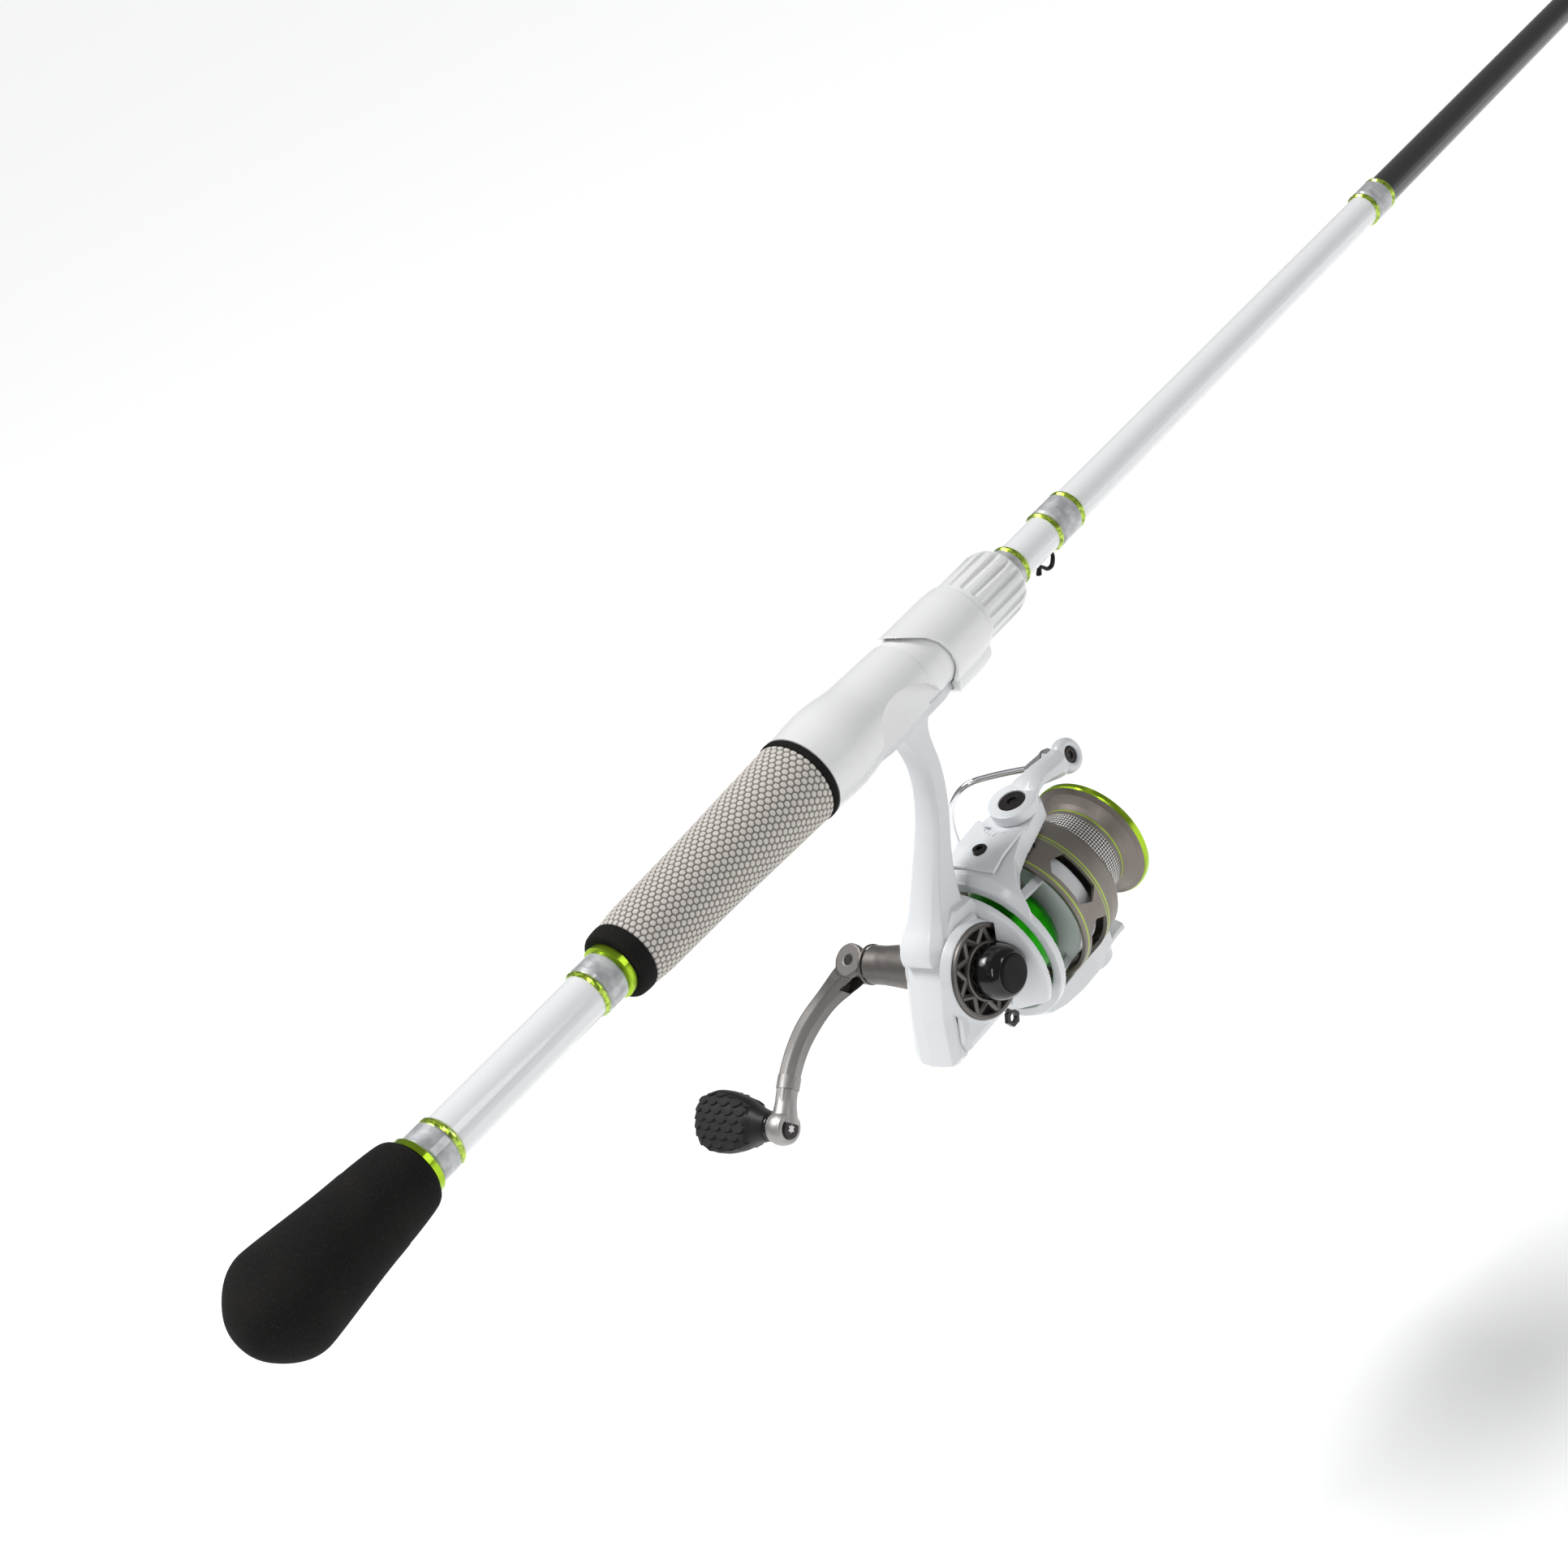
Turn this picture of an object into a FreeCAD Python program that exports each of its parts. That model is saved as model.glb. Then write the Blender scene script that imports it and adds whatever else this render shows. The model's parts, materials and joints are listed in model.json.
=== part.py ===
import FreeCAD, Part
import math
import os
import Sketcher
from FreeCAD import Placement, Rotation, Vector

# Spinning rod and reel, one-piece rod with a size-2000 reel hung under it.
# Millimetres. +Y runs along the rod to its tip, +Z is up, the reel hangs towards -Z and
# the crank is on the -X side. The origin is on the rod's axis above the crank's axis,
# where the hand closes round the reel seat.

os.makedirs("parts", exist_ok=True)
doc = FreeCAD.newDocument("SpinningRod")

SIZES = {
    # Blank and handle, front to back from the rear of the reel seat
    "butt_end": -252.0, "tip_end": 1790.0, "butt_radius": 7.6, "tip_radius": 0.95,
    "blank_wall": 1.2, "blank_bore_share": 0.84, "seat_rear": -19.7,
    "foam_front_length": 2.7, "rear_grip_length": 82.4, "foam_rear_length": 5.6,
    "ring_length": 3.0, "wrap_length": 8.0, "trim_length": 2.2, "label_length": 61.5,
    "butt_grip_length": 67.7, "grip_front_radius": 14.1, "grip_rear_radius": 11.4,
    "foam_radius": 14.4, "butt_grip_radius": 16.8, "butt_grip_front_radius": 11.4,
    "ring_height": 1.7, "wrap_height": 0.75,
    # Reel seat, hood and nut
    "seat_radius": 14.4, "barrel_radius": 11.7,
    "thread_radius": 9.0, "seat_front": 84.0, "foot_plane": 9.9, "foot_thickness": 3.2,
    "foot_rear": -4.0, "foot_front": 57.0, "foot_width": 13.0, "toe_width": 10.0,
    "hood_radius": 13.3, "slide_gap": 0.3, "hood_front": 64.2, "hood_rear": 33.0,
    "nut_length": 24.2, "nut_radius": 12.0, "scoop_depth": 8.2,
    # Front of the handle
    "front_wrap_start": 89.2, "front_wrap_length": 5.0, "keeper_start": 101.5,
    "keeper_length": 12.5, "second_wrap_start": 114.0, "second_wrap_length": 15.2,
    "third_wrap_start": 325.5, "third_wrap_length": 13.5,
    # Reel axes
    "spool_drop": 93.0, "crank_drop": 87.0,
    # Gearbox
    "body_half_width": 10.0, "body_wall": 1.7, "flange_front": 13.5, "flange_radius": 25.0,
    "body_floor": 106.5, "cover_outer": 12.4, "ring_outer": 15.0, "ring_face": 14.2,
    # Shafts and gears
    "shaft_radius": 2.0, "run_gap": 0.05, "crank_shaft_radius": 2.6, "bearing_radius": 5.0,
    "gear_radius": 9.0, "gear_back": -8.0, "pinion_radius": 3.6, "pinion_rear": 2.0,
    "drum_radius": 16.8, "drum_front": 34.0, "hub_front": 40.0, "nut_front": 44.0,
    "tooth_gap": 0.15,
    # Rotor
    "rotor_rear": 17.0, "rotor_ring_length": 2.8, "rotor_radius": 26.2, "rotor_bore": 23.0,
    "bail_height": 32.4, "bail_cross": 53.6,
    # Spool
    "skirt_rear": 34.0, "skirt_radius": 24.6, "skirt_wall": 1.4, "skirt_front": 58.0,
    "arbor_radius": 15.8, "arbor_front": 71.0, "lip_front": 78.0, "lip_radius": 21.5,
    "lime_rim": 2.8, "web_rear": 52.0, "drag_radius": 11.4, "drag_front": 84.5,
    # Crank
    "shank_start": -12.7, "shank_end": -34.0, "shank_radius": 6.3, "fold_x": -41.0,
    "crank_radius": 55.0, "arm_radius": 3.8, "knob_start": -64.6, "knob_end": -97.0,
    "knob_shaft_radius": 2.0,
    # Line guides: the first guide's ring and the spacing from the tip backwards
    "guide_wire": 1.1, "guide_first_gap": 115.0, "guide_gap_step": 27.0,
}

sheet = doc.addObject("Spreadsheet::Sheet", "Sheet")
for row, (alias, number) in enumerate(SIZES.items(), start=1):
    sheet.set(f"A{row}", alias)
    sheet.set(f"B{row}", str(number))
    sheet.setAlias(f"B{row}", alias)
doc.recompute()


class Size:
    """A length known both as a number and as an expression on the spreadsheet."""

    def __init__(self, value, text):
        self.value = float(value)
        self.text = text

    def __float__(self):
        return self.value

    def __neg__(self):
        return Size(-self.value, f"(0 - {self.text})")

    def __add__(self, other):
        other = as_size(other)
        return Size(self.value + other.value, f"({self.text} + {other.text})")

    def __sub__(self, other):
        other = as_size(other)
        return Size(self.value - other.value, f"({self.text} - {other.text})")

    def __mul__(self, other):
        other = as_size(other)
        return Size(self.value * other.value, f"({self.text} * {other.text})")

    def __truediv__(self, other):
        other = as_size(other)
        return Size(self.value / other.value, f"({self.text} / {other.text})")

    __radd__ = __add__

    def __rsub__(self, other):
        return as_size(other) - self


def as_size(number):
    return number if isinstance(number, Size) else Size(number, repr(float(number)))


class Sheet:
    """Every cell of the spreadsheet as an attribute."""


d = Sheet()
for alias in SIZES:
    setattr(d, alias, Size(sheet.get(alias), f"Sheet.{alias}"))

AXES = {"x": Vector(1, 0, 0), "y": Vector(0, 1, 0), "z": Vector(0, 0, 1)}
SPOOL = (0.0, -d.spool_drop)
CRANK = (0.0, -d.crank_drop)
ROD = (0.0, 0.0)
NODES = {}


def bind(item, name, size):
    size = as_size(size)
    if "Sheet." in size.text:
        item.setExpression(name, size.text)
    else:
        target, parts = item, name.split(".")
        if len(parts) == 1:
            setattr(target, name, size.value)
        else:
            item.setExpression(name, size.text)


def node(item, label):
    """Mark an object as a separate piece, written to parts/LABEL.step."""
    item.Label = label
    NODES[label] = item
    return item


def place(item, axis, start, centre):
    """Put a Z-built primitive on an axis, from start, through the centre of the other two."""
    item.Placement = Placement(Vector(), Rotation(Vector(0, 0, 1), AXES[axis]))
    spots = {"x": (start, centre[0], centre[1]), "y": (centre[0], start, centre[1]),
             "z": (centre[0], centre[1], start)}[axis]
    for key, spot in zip("xyz", spots):
        bind(item, f"Placement.Base.{key}", spot)


def cylinder(radius, start, end, axis="y", centre=ROD):
    item = doc.addObject("Part::Cylinder", "Cylinder")
    bind(item, "Radius", radius)
    bind(item, "Height", as_size(end) - start)
    place(item, axis, start, centre)
    return item


def cone(radius_start, radius_end, start, end, axis="y", centre=ROD):
    item = doc.addObject("Part::Cone", "Cone")
    bind(item, "Radius1", radius_start)
    bind(item, "Radius2", radius_end)
    bind(item, "Height", as_size(end) - start)
    place(item, axis, start, centre)
    return item


def box(low, high):
    item = doc.addObject("Part::Box", "Box")
    for key, name, start, end in zip("xyz", ("Length", "Width", "Height"), low, high):
        bind(item, name, as_size(end) - start)
        bind(item, f"Placement.Base.{key}", start)
    return item


def cut(base, *tools):
    for tool in tools:
        item = doc.addObject("Part::Cut", "Cut")
        item.Base = base
        item.Tool = tool
        base = item
    return base


def fuse(*pieces):
    item = doc.addObject("Part::MultiFuse", "Fuse")
    item.Shapes = list(pieces)
    return item


def common(first, second):
    item = doc.addObject("Part::MultiCommon", "Common")
    item.Shapes = [first, second]
    return item


def tube(outer, inner, start, end, axis="y", centre=ROD):
    return cut(cylinder(outer, start, end, axis, centre), cylinder(inner, start, end, axis, centre))


def sketch_polygon(body, name, points):
    """A closed outline whose every corner is tied to its two sizes."""
    plane = [item for item in body.Origin.OriginFeatures if item.Role == "XY_Plane"][0]
    sketch = body.newObject("Sketcher::SketchObject", name)
    sketch.AttachmentSupport = [(plane, "")]
    sketch.MapMode = "FlatFace"
    corners = [Vector(float(a), float(b), 0) for a, b in points]
    count = len(corners)
    for index in range(count):
        sketch.addGeometry(Part.LineSegment(corners[index], corners[(index + 1) % count]))
    for index in range(count):
        sketch.addConstraint(Sketcher.Constraint("Coincident", index, 2, (index + 1) % count, 1))
    for index, (across, along) in enumerate(points):
        for kind, size in (("DistanceX", as_size(across)), ("DistanceY", as_size(along))):
            row = sketch.addConstraint(Sketcher.Constraint(kind, -1, 1, index, 1, size.value))
            if "Sheet." in size.text:
                sketch.setExpression(f"Constraints[{row}]", size.text)
    return sketch


def turned(name, points, axis="y", centre=ROD):
    """A piece turned about an axis: points are (radius, station along the axis)."""
    body = doc.addObject("PartDesign::Body", name)
    if axis == "x":
        points = [(along, radius) for radius, along in points]
    sketch = sketch_polygon(body, f"{name}_outline", points)
    turn = body.newObject("PartDesign::Revolution", f"{name}_turn")
    turn.Profile = sketch
    turn.ReferenceAxis = (sketch, ["V_Axis" if axis == "y" else "H_Axis"])
    turn.Angle = 360.0
    body.Tip = turn
    if axis == "y":
        bind(body, "Placement.Base.x", centre[0])
    else:
        bind(body, "Placement.Base.y", centre[0])
    bind(body, "Placement.Base.z", centre[1])
    return body


def plate(name, points, low, high):
    """A flat piece: points are (y, z), from x = low to x = high."""
    body = doc.addObject("PartDesign::Body", name)
    sketch = sketch_polygon(body, f"{name}_outline", points)
    pad = body.newObject("PartDesign::Pad", f"{name}_pad")
    pad.Profile = sketch
    bind(pad, "Length", as_size(high) - low)
    body.Tip = pad
    # Sketch X is the row's Y and sketch Y is the row's Z, so the pad grows along X.
    turn = Rotation(Vector(0, 1, 0), Vector(0, 0, 1), Vector(1, 0, 0), "XYZ")
    body.Placement = Placement(Vector(), turn)
    bind(body, "Placement.Base.x", low)
    return body


def feature(name, shape, position=Vector()):
    item = doc.addObject("Part::Feature", name)
    item.Shape = shape
    item.Placement = Placement(position, Rotation())
    return item


def smooth_turned(points, bore=None):
    """A revolved solid about Y whose outer line is a spline through (radius, y) points."""
    corners = [Vector(float(r), float(y), 0) for r, y in points]
    curve = Part.BSplineCurve()
    curve.interpolate(corners)
    first, last = corners[0], corners[-1]
    edges = [curve.toShape()]
    if last.x > 0:
        edges.append(Part.makeLine(last, Vector(0, last.y, 0)))
    edges.append(Part.makeLine(Vector(0, last.y, 0), Vector(0, first.y, 0)))
    if first.x > 0:
        edges.append(Part.makeLine(Vector(0, first.y, 0), first))
    face = Part.Face(Part.Wire(edges))
    solid = face.revolve(Vector(), AXES["y"], 360)
    solid = solid if solid.Volume > 0 else solid.reversed()
    return solid.cut(bore) if bore else solid


def rounded_path(corners):
    """Straight runs joined by tangent arcs, each as large as its two runs allow."""
    corners = [Vector(*point) for point in corners]
    edges = []
    start = corners[0]
    for index in range(1, len(corners) - 1):
        corner = corners[index]
        back = corners[index - 1] - corner
        ahead = corners[index + 1] - corner
        reach = 0.45 * min(back.Length, ahead.Length)
        back.normalize()
        ahead.normalize()
        enter = corner + back * reach
        leave = corner + ahead * reach
        half = (back + ahead)
        half.normalize()
        half_angle = ahead.getAngle(half)
        radius = reach * math.tan(half_angle)
        middle = corner + half * (reach / math.cos(half_angle) - radius)
        edges.append(Part.LineSegment(start, enter).toShape())
        edges.append(Part.Arc(enter, middle, leave).toShape())
        start = leave
    edges.append(Part.LineSegment(start, corners[-1]).toShape())
    return Part.Wire(edges)


def wire_solid(corners, radius):
    """A round bar of constant radius along a rounded path."""
    path = rounded_path(corners)
    first, second = Vector(*corners[0]), Vector(*corners[1])
    ring = Part.Wire([Part.makeCircle(float(radius), first, second - first)])
    return path.makePipeShell([ring], True, True)


def bar(start, end, radius):
    start, end = Vector(*start), Vector(*end)
    return Part.makeCylinder(float(radius), (end - start).Length, start, end - start)


def loft(sections, ruled=False):
    """A solid through closed polygons of equal corner count."""
    wires = []
    for section in sections:
        corners = [Vector(*point) for point in section]
        wires.append(Part.makePolygon(corners + [corners[0]]))
    return Part.makeLoft(wires, True, ruled)


def chamfered(centre_y, half_y, half_x, height, share=0.3):
    """Eight corners of a rectangle with cut corners, flat at one height."""
    cut_x, cut_y = half_x * (1 - share), half_y * (1 - share)
    ring = [(half_x, -cut_y), (half_x, cut_y), (cut_x, half_y), (-cut_x, half_y),
            (-half_x, cut_y), (-half_x, -cut_y), (-cut_x, -half_y), (cut_x, -half_y)]
    return [(x, centre_y + y, height) for x, y in ring]


# ---------------------------------------------------------------- rod blank

taper = (d.butt_radius - d.tip_radius) / (d.tip_end - d.butt_end)


def blank_radius(station):
    return d.butt_radius - taper * (as_size(station) - d.butt_end)


def blank_envelope():
    return cone(d.butt_radius, d.tip_radius, d.butt_end, d.tip_end)


def blank_shape():
    return Part.makeCone(float(d.butt_radius), float(d.tip_radius),
                         float(d.tip_end - d.butt_end), Vector(0, float(d.butt_end), 0), AXES["y"])


bore_end = d.butt_end + (d.tip_end - d.butt_end) * d.blank_bore_share
node(cut(blank_envelope(),
         cone(d.butt_radius - d.blank_wall, blank_radius(bore_end) - d.blank_wall,
              d.butt_end, bore_end)), "rod_blank")

# ---------------------------------------------------------------- grips, rings and wraps

foam_front = d.seat_rear - d.foam_front_length
grip_rear = foam_front - d.rear_grip_length
foam_rear = grip_rear - d.foam_rear_length
ring_front_rear = foam_rear - d.ring_length
label_front = ring_front_rear - d.wrap_length - d.trim_length
label_rear = label_front - d.label_length
ring_rear_front = label_rear - d.trim_length - d.wrap_length
butt_grip_front = ring_rear_front - d.ring_length
butt_grip_rear = butt_grip_front - d.butt_grip_length


def sleeve(start, end, height, soft=0.8):
    """A wrap or ring on the blank, its ends rounded off, cut to the blank's taper."""
    start, end = as_size(start), as_size(end)
    surface = blank_radius(start)
    body = turned("Sleeve", [(surface - 1.5, start), (surface + 0.1, start),
                             (surface + height, start + soft), (surface + height, end - soft),
                             (surface + 0.1, end), (surface - 1.5, end)])
    return cut(body, blank_envelope())


node(fuse(sleeve(ring_front_rear, foam_rear, d.ring_height, 0.5),
          sleeve(butt_grip_front, ring_rear_front, d.ring_height, 0.5)), "grip_rings")
front_wrap_end = d.front_wrap_start + d.front_wrap_length
second_wrap_end = d.second_wrap_start + d.second_wrap_length
third_wrap_end = d.third_wrap_start + d.third_wrap_length
node(fuse(sleeve(ring_front_rear - d.wrap_length, ring_front_rear, d.wrap_height),
          sleeve(ring_rear_front, ring_rear_front + d.wrap_length, d.wrap_height),
          sleeve(d.front_wrap_start, front_wrap_end, d.wrap_height),
          sleeve(d.second_wrap_start + d.trim_length, second_wrap_end - d.trim_length,
                 d.wrap_height),
          sleeve(d.third_wrap_start + d.trim_length, third_wrap_end - d.trim_length,
                 d.wrap_height)), "thread_wraps")
node(fuse(sleeve(label_front, label_front + d.trim_length, d.wrap_height),
          sleeve(label_rear - d.trim_length, label_rear, d.wrap_height),
          sleeve(front_wrap_end, front_wrap_end + d.trim_length, d.wrap_height),
          sleeve(d.second_wrap_start, d.second_wrap_start + d.trim_length, d.wrap_height),
          sleeve(second_wrap_end - d.trim_length, second_wrap_end, d.wrap_height),
          sleeve(d.third_wrap_start, d.third_wrap_start + d.trim_length, d.wrap_height),
          sleeve(third_wrap_end - d.trim_length, third_wrap_end, d.wrap_height)), "trim_bands")

node(cut(fuse(cylinder(d.foam_radius, foam_front, d.seat_rear),
              cone(d.grip_rear_radius - 0.6, d.grip_rear_radius, foam_rear, grip_rear)),
         blank_envelope()), "foam_rings")

grip_line = [(0.0, 11.4), (0.09, 12.1), (0.3, 12.35), (0.5, 12.75), (0.7, 13.3), (0.9, 13.85),
             (1.0, 14.1)]
grip_scale = (float(d.grip_front_radius) - float(d.grip_rear_radius)) / (14.1 - 11.4)
grip_points = [(float(d.grip_rear_radius) + (radius - 11.4) * grip_scale,
                float(grip_rear) + share * float(d.rear_grip_length)) for share, radius in grip_line]
node(feature("RearGrip", smooth_turned(grip_points, blank_shape())), "rear_grip")

butt_line = [(0.0, 0.0), (0.004, 0.22), (0.03, 0.48), (0.093, 0.75), (0.157, 0.925), (0.22, 1.0),
             (0.29, 0.982), (0.42, 0.92), (0.62, 0.825), (0.83, 0.757), (0.95, 0.70),
             (0.985, 0.655), (1.0, 0.57)]
butt_points = [(share * float(d.butt_grip_radius), float(butt_grip_rear)
                + along * float(d.butt_grip_length)) for along, share in butt_line]
node(feature("ButtGrip", smooth_turned(butt_points, blank_shape())), "butt_grip")

# ---------------------------------------------------------------- reel seat

seat_line = [(14.4, -19.7), (14.75, -13.0), (15.0, -5.0), (14.4, 1.5), (13.6, 7.0),
             (13.1, 15.0), (12.8, 24.0), (12.5, 32.0)]
seat_shift = float(d.seat_rear) + 19.7
seat_scale = float(d.seat_radius) / 14.4
seat_points = [(radius * seat_scale, along + seat_shift) for radius, along in seat_line]
seat_shell = feature("SeatShell", smooth_turned(seat_points))
barrel = cylinder(d.barrel_radius, d.hood_rear - 2, d.hood_front - 2)
thread = cylinder(d.thread_radius, d.hood_front - 3, d.seat_front)
scoop_line = [(3.2, -16.0), (3.6, -5.0), (5.4, 0.2), (8.6, 2.9), (13.0, 4.3), (18.0, 4.5),
              (24.0, 3.2), (30.0, 0.2), (35.0, -4.2), (39.0, -9.5), (41.0, -16.0)]
scoop_right = plate("ScoopRight", scoop_line, d.scoop_depth, 20.0)
scoop_left = plate("ScoopLeft", scoop_line, -20.0, -d.scoop_depth)
foot_flat = box((-20, 5.0, -20), (20, d.seat_front + 1, -d.foot_plane))
toe_half = d.toe_width / 2
toe_pocket = box((-toe_half, d.foot_rear, -d.foot_plane - d.foot_thickness),
                 (toe_half, 6.0, -d.foot_plane))
node(cut(fuse(seat_shell, barrel, thread), foot_flat, toe_pocket, scoop_right, scoop_left,
         blank_envelope()), "reel_seat")

hood_bore = d.barrel_radius + d.slide_gap
hood_tube = turned("HoodTube", [(hood_bore, d.hood_rear), (d.hood_radius + 0.2, d.hood_rear),
                                (d.hood_radius + 0.1, d.hood_rear + 8),
                                (d.hood_radius, d.hood_front - 6),
                                (d.hood_radius - 0.4, d.hood_front),
                                (hood_bore - 2.4, d.hood_front), (hood_bore - 2.4, d.hood_front - 1.6),
                                (hood_bore, d.hood_front - 1.6)])
hump_line = [(45.5, -8.0), (46.0, -13.8), (48.5, -16.2), (51.5, -17.2), (56.0, -17.2),
             (60.0, -15.4), (d.hood_front, -13.0), (d.hood_front, -8.0)]
hump = common(plate("HoodHump", hump_line, -9.6, 9.6),
              cylinder(9.4, 44.0, d.hood_front, "y", (0, -8.0)))
# The rear edge sweeps forward from the top of the hood to its sides.
rear_sweep_line = [(31.0, 20.0), (34.6, 20.0), (34.9, 13.2), (38.2, 10.9), (41.2, 8.8), (43.4, 5.6),
                   (44.7, 1.0), (45.2, -4.0), (44.8, -8.5), (46.2, -10.5), (45.4, -20.0),
                   (31.0, -20.0)]
rear_sweep = plate("HoodSweep", rear_sweep_line, -20.0, 20.0)
foot_bottom = -d.foot_plane - d.foot_thickness
toe_clear = box((-d.toe_width / 2 - d.slide_gap, 30.0, foot_bottom - d.slide_gap),
                (d.toe_width / 2 + d.slide_gap, d.foot_front + d.slide_gap, -6.0))
barrel_clear = cylinder(hood_bore, 30.0, d.hood_front - 1.6)
lip_clear = cylinder(hood_bore - 2.4, 50.0, d.hood_front + 1)
node(cut(fuse(cut(hood_tube, rear_sweep), cut(hump, barrel_clear, lip_clear, rear_sweep)),
         toe_clear), "seat_hood")


def nut_grooves():
    """Long scallops that leave rounded ribs between them, run out at the rear."""
    rear = float(d.hood_front + d.slide_gap)
    front = rear + float(d.nut_length)
    radius = float(d.nut_radius)
    ribs = 18
    bars = []
    for index in range(ribs):
        angle = 2 * math.pi * index / ribs
        start, end = radius + 0.55, radius - 0.35
        bars.append(bar((start * math.cos(angle), rear + 2.2, start * math.sin(angle)),
                        (end * math.cos(angle), front + 1, end * math.sin(angle)), 1.15))
    return bars[0].multiFuse(bars[1:])


nut_rear = d.hood_front + d.slide_gap
nut_front = nut_rear + d.nut_length
nut_body = turned("NutTurn", [(0.0, nut_rear), (d.nut_radius - 0.3, nut_rear),
                              (d.nut_radius, nut_rear + 0.6), (d.nut_radius, nut_front - 6.0),
                              (d.nut_radius - 0.4, nut_front - 3.4),
                              (d.nut_radius - 1.0, nut_front - 1.4),
                              (d.nut_radius - 2.0, nut_front), (0.0, nut_front)])
nut_bore = d.thread_radius + d.slide_gap
node(cut(nut_body, feature("NutGrooves", nut_grooves()),
         cylinder(nut_bore, d.hood_front, nut_front - 3.0),
         cylinder(blank_radius(d.front_wrap_start) + d.wrap_height + d.slide_gap,
                  d.hood_front, nut_front + 1)), "seat_nut")

keeper_low = -(float(blank_radius(d.keeper_start)) + 3.6)
keeper_top = -(float(blank_radius(d.keeper_start)) - 0.2)
keeper_a = float(d.keeper_start)
keeper_b = keeper_a + float(d.keeper_length)
keeper = wire_solid([(0, keeper_a - 1.0, keeper_top - 0.8), (0, keeper_a + 1.4, keeper_low - 1.4),
                     (0, keeper_a + 4.2, keeper_low), (0, keeper_b - 2.8, keeper_low + 1.5),
                     (0, keeper_b, keeper_top - 0.2)], 0.75)
node(feature("HookKeeper", keeper.cut(blank_shape())), "hook_keeper")

# ---------------------------------------------------------------- line guides

GUIDE_BORES = [10.0, 6.4, 4.8, 3.6, 3.1, 3.1]
GUIDE_DROPS = [24.0, 16.0, 11.5, 8.6, 7.2, 6.6]


def guide_stations():
    """Stations from the tip back, each gap a little longer than the last."""
    stations, gap = [], float(d.guide_first_gap)
    station = float(d.tip_end) - gap
    for _ in GUIDE_BORES:
        stations.append(station)
        gap += float(d.guide_gap_step)
        station -= gap
    return list(reversed(stations))


def guide_frame(station, bore, drop):
    """A hoop on four legs and two flat feet that lie along the underside of the blank."""
    wire = float(d.guide_wire) * (1.0 if bore > 4 else 0.75)
    rod = float(blank_radius(station))
    centre = Vector(0, station, -(rod + drop))
    hoop = bore + wire * 2.2
    solid = Part.makeCylinder(hoop, wire * 2, centre - Vector(0, wire, 0), AXES["y"])
    top = -(rod + wire * 0.3)
    reach = drop * 0.9 + 6.0
    spread = hoop * 0.55
    low = centre.z + hoop * 0.72
    for side in (-1, 1):
        foot = sorted((station + side * reach, station + side * (reach - 10.0)))
        solid = solid.fuse(Part.makeBox(wire * 2.2, foot[1] - foot[0], wire * 1.3,
                                        Vector(-wire * 1.1, foot[0], top - wire * 0.9)))
        for across in (-spread, spread):
            solid = solid.fuse(bar((across * 0.08, station + side * (reach - 9.3), top - wire * 0.3),
                                   (across, station + side * wire * 0.2, low), wire * 0.8))
    opening = Part.makeCylinder(bore, 12.0, centre - Vector(0, 6.0, 0), AXES["y"])
    solid = solid.cut(opening).cut(blank_shape())
    return max(solid.Solids, key=lambda piece: piece.Volume)


def wrap_sleeve(surface, rear, front):
    """A thread wrap over a guide's foot: a straight sleeve with tapered ends."""
    line = [(0, rear), (surface + 0.05, rear), (surface + 1.0, rear + 1.5),
            (surface + 1.0, front - 1.5), (surface + 0.05, front), (0, front), (0, rear)]
    face = Part.Face(Part.makePolygon([Vector(radius, station, 0) for radius, station in line]))
    return face.revolve(Vector(0, 0, 0), AXES["y"], 360)


ring_solids = []
wrap_solids = []
for number, (station, bore, drop) in enumerate(zip(guide_stations(), GUIDE_BORES, GUIDE_DROPS), 1):
    frame = guide_frame(station, bore, drop)
    wire = float(d.guide_wire) * (1.0 if bore > 4 else 0.75)
    centre_z = -(float(blank_radius(station)) + drop)
    insert = Part.makeCylinder(bore + wire * 0.9, 2.0, Vector(0, station - 1.0, centre_z), AXES["y"])
    insert = insert.cut(Part.makeCylinder(bore, 2.0, Vector(0, station - 1.0, centre_z), AXES["y"]))
    frame = frame.cut(insert)
    node(feature(f"GuideFrame{number}", frame), f"guide_frame_{number}")
    ring_solids.append(insert)
    for side in (-1, 1):
        reach = drop * 0.9 + 6.0
        ends = sorted((station + side * (reach + 3.0), station + side * (reach - 8.0)))
        surface = float(blank_radius(ends[0]))
        wrap = wrap_sleeve(surface, *ends)
        wrap = wrap.cut(blank_shape()).cut(frame)
        wrap_solids.append(max(wrap.Solids, key=lambda solid: solid.Volume))
node(feature("GuideRings", Part.makeCompound(ring_solids)), "guide_rings")
node(feature("GuideWraps", Part.makeCompound(wrap_solids)), "guide_wraps")


def tip_top_shape():
    """A tube pushed over the tip, with a small ring on two legs below its end."""
    tip = float(d.tip_end)
    tube_outer = float(d.tip_radius) + 0.75
    sleeve_solid = Part.makeCylinder(tube_outer, 13.0, Vector(0, tip - 12.0, 0), AXES["y"])
    ring_z = -6.6
    ring_y = tip + 4.0
    hoop = Part.makeCylinder(3.6, 1.8, Vector(0, ring_y, ring_z), AXES["y"])
    solid = sleeve_solid.fuse(hoop)
    for across in (-1.6, 1.6):
        solid = solid.fuse(bar((across * 0.5, tip - 1.0, -0.6), (across, ring_y + 0.9, ring_z + 3.0), 0.6))
    solid = solid.fuse(bar((0, tip - 10.5, -tube_outer * 0.7), (0, ring_y + 0.6, ring_z - 3.1), 0.6))
    solid = solid.cut(Part.makeCylinder(2.5, 12.0, Vector(0, ring_y - 6.0, ring_z), AXES["y"]))
    return solid.cut(blank_shape()).removeSplitter()


node(feature("TipTop", tip_top_shape()), "tip_top")

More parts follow.
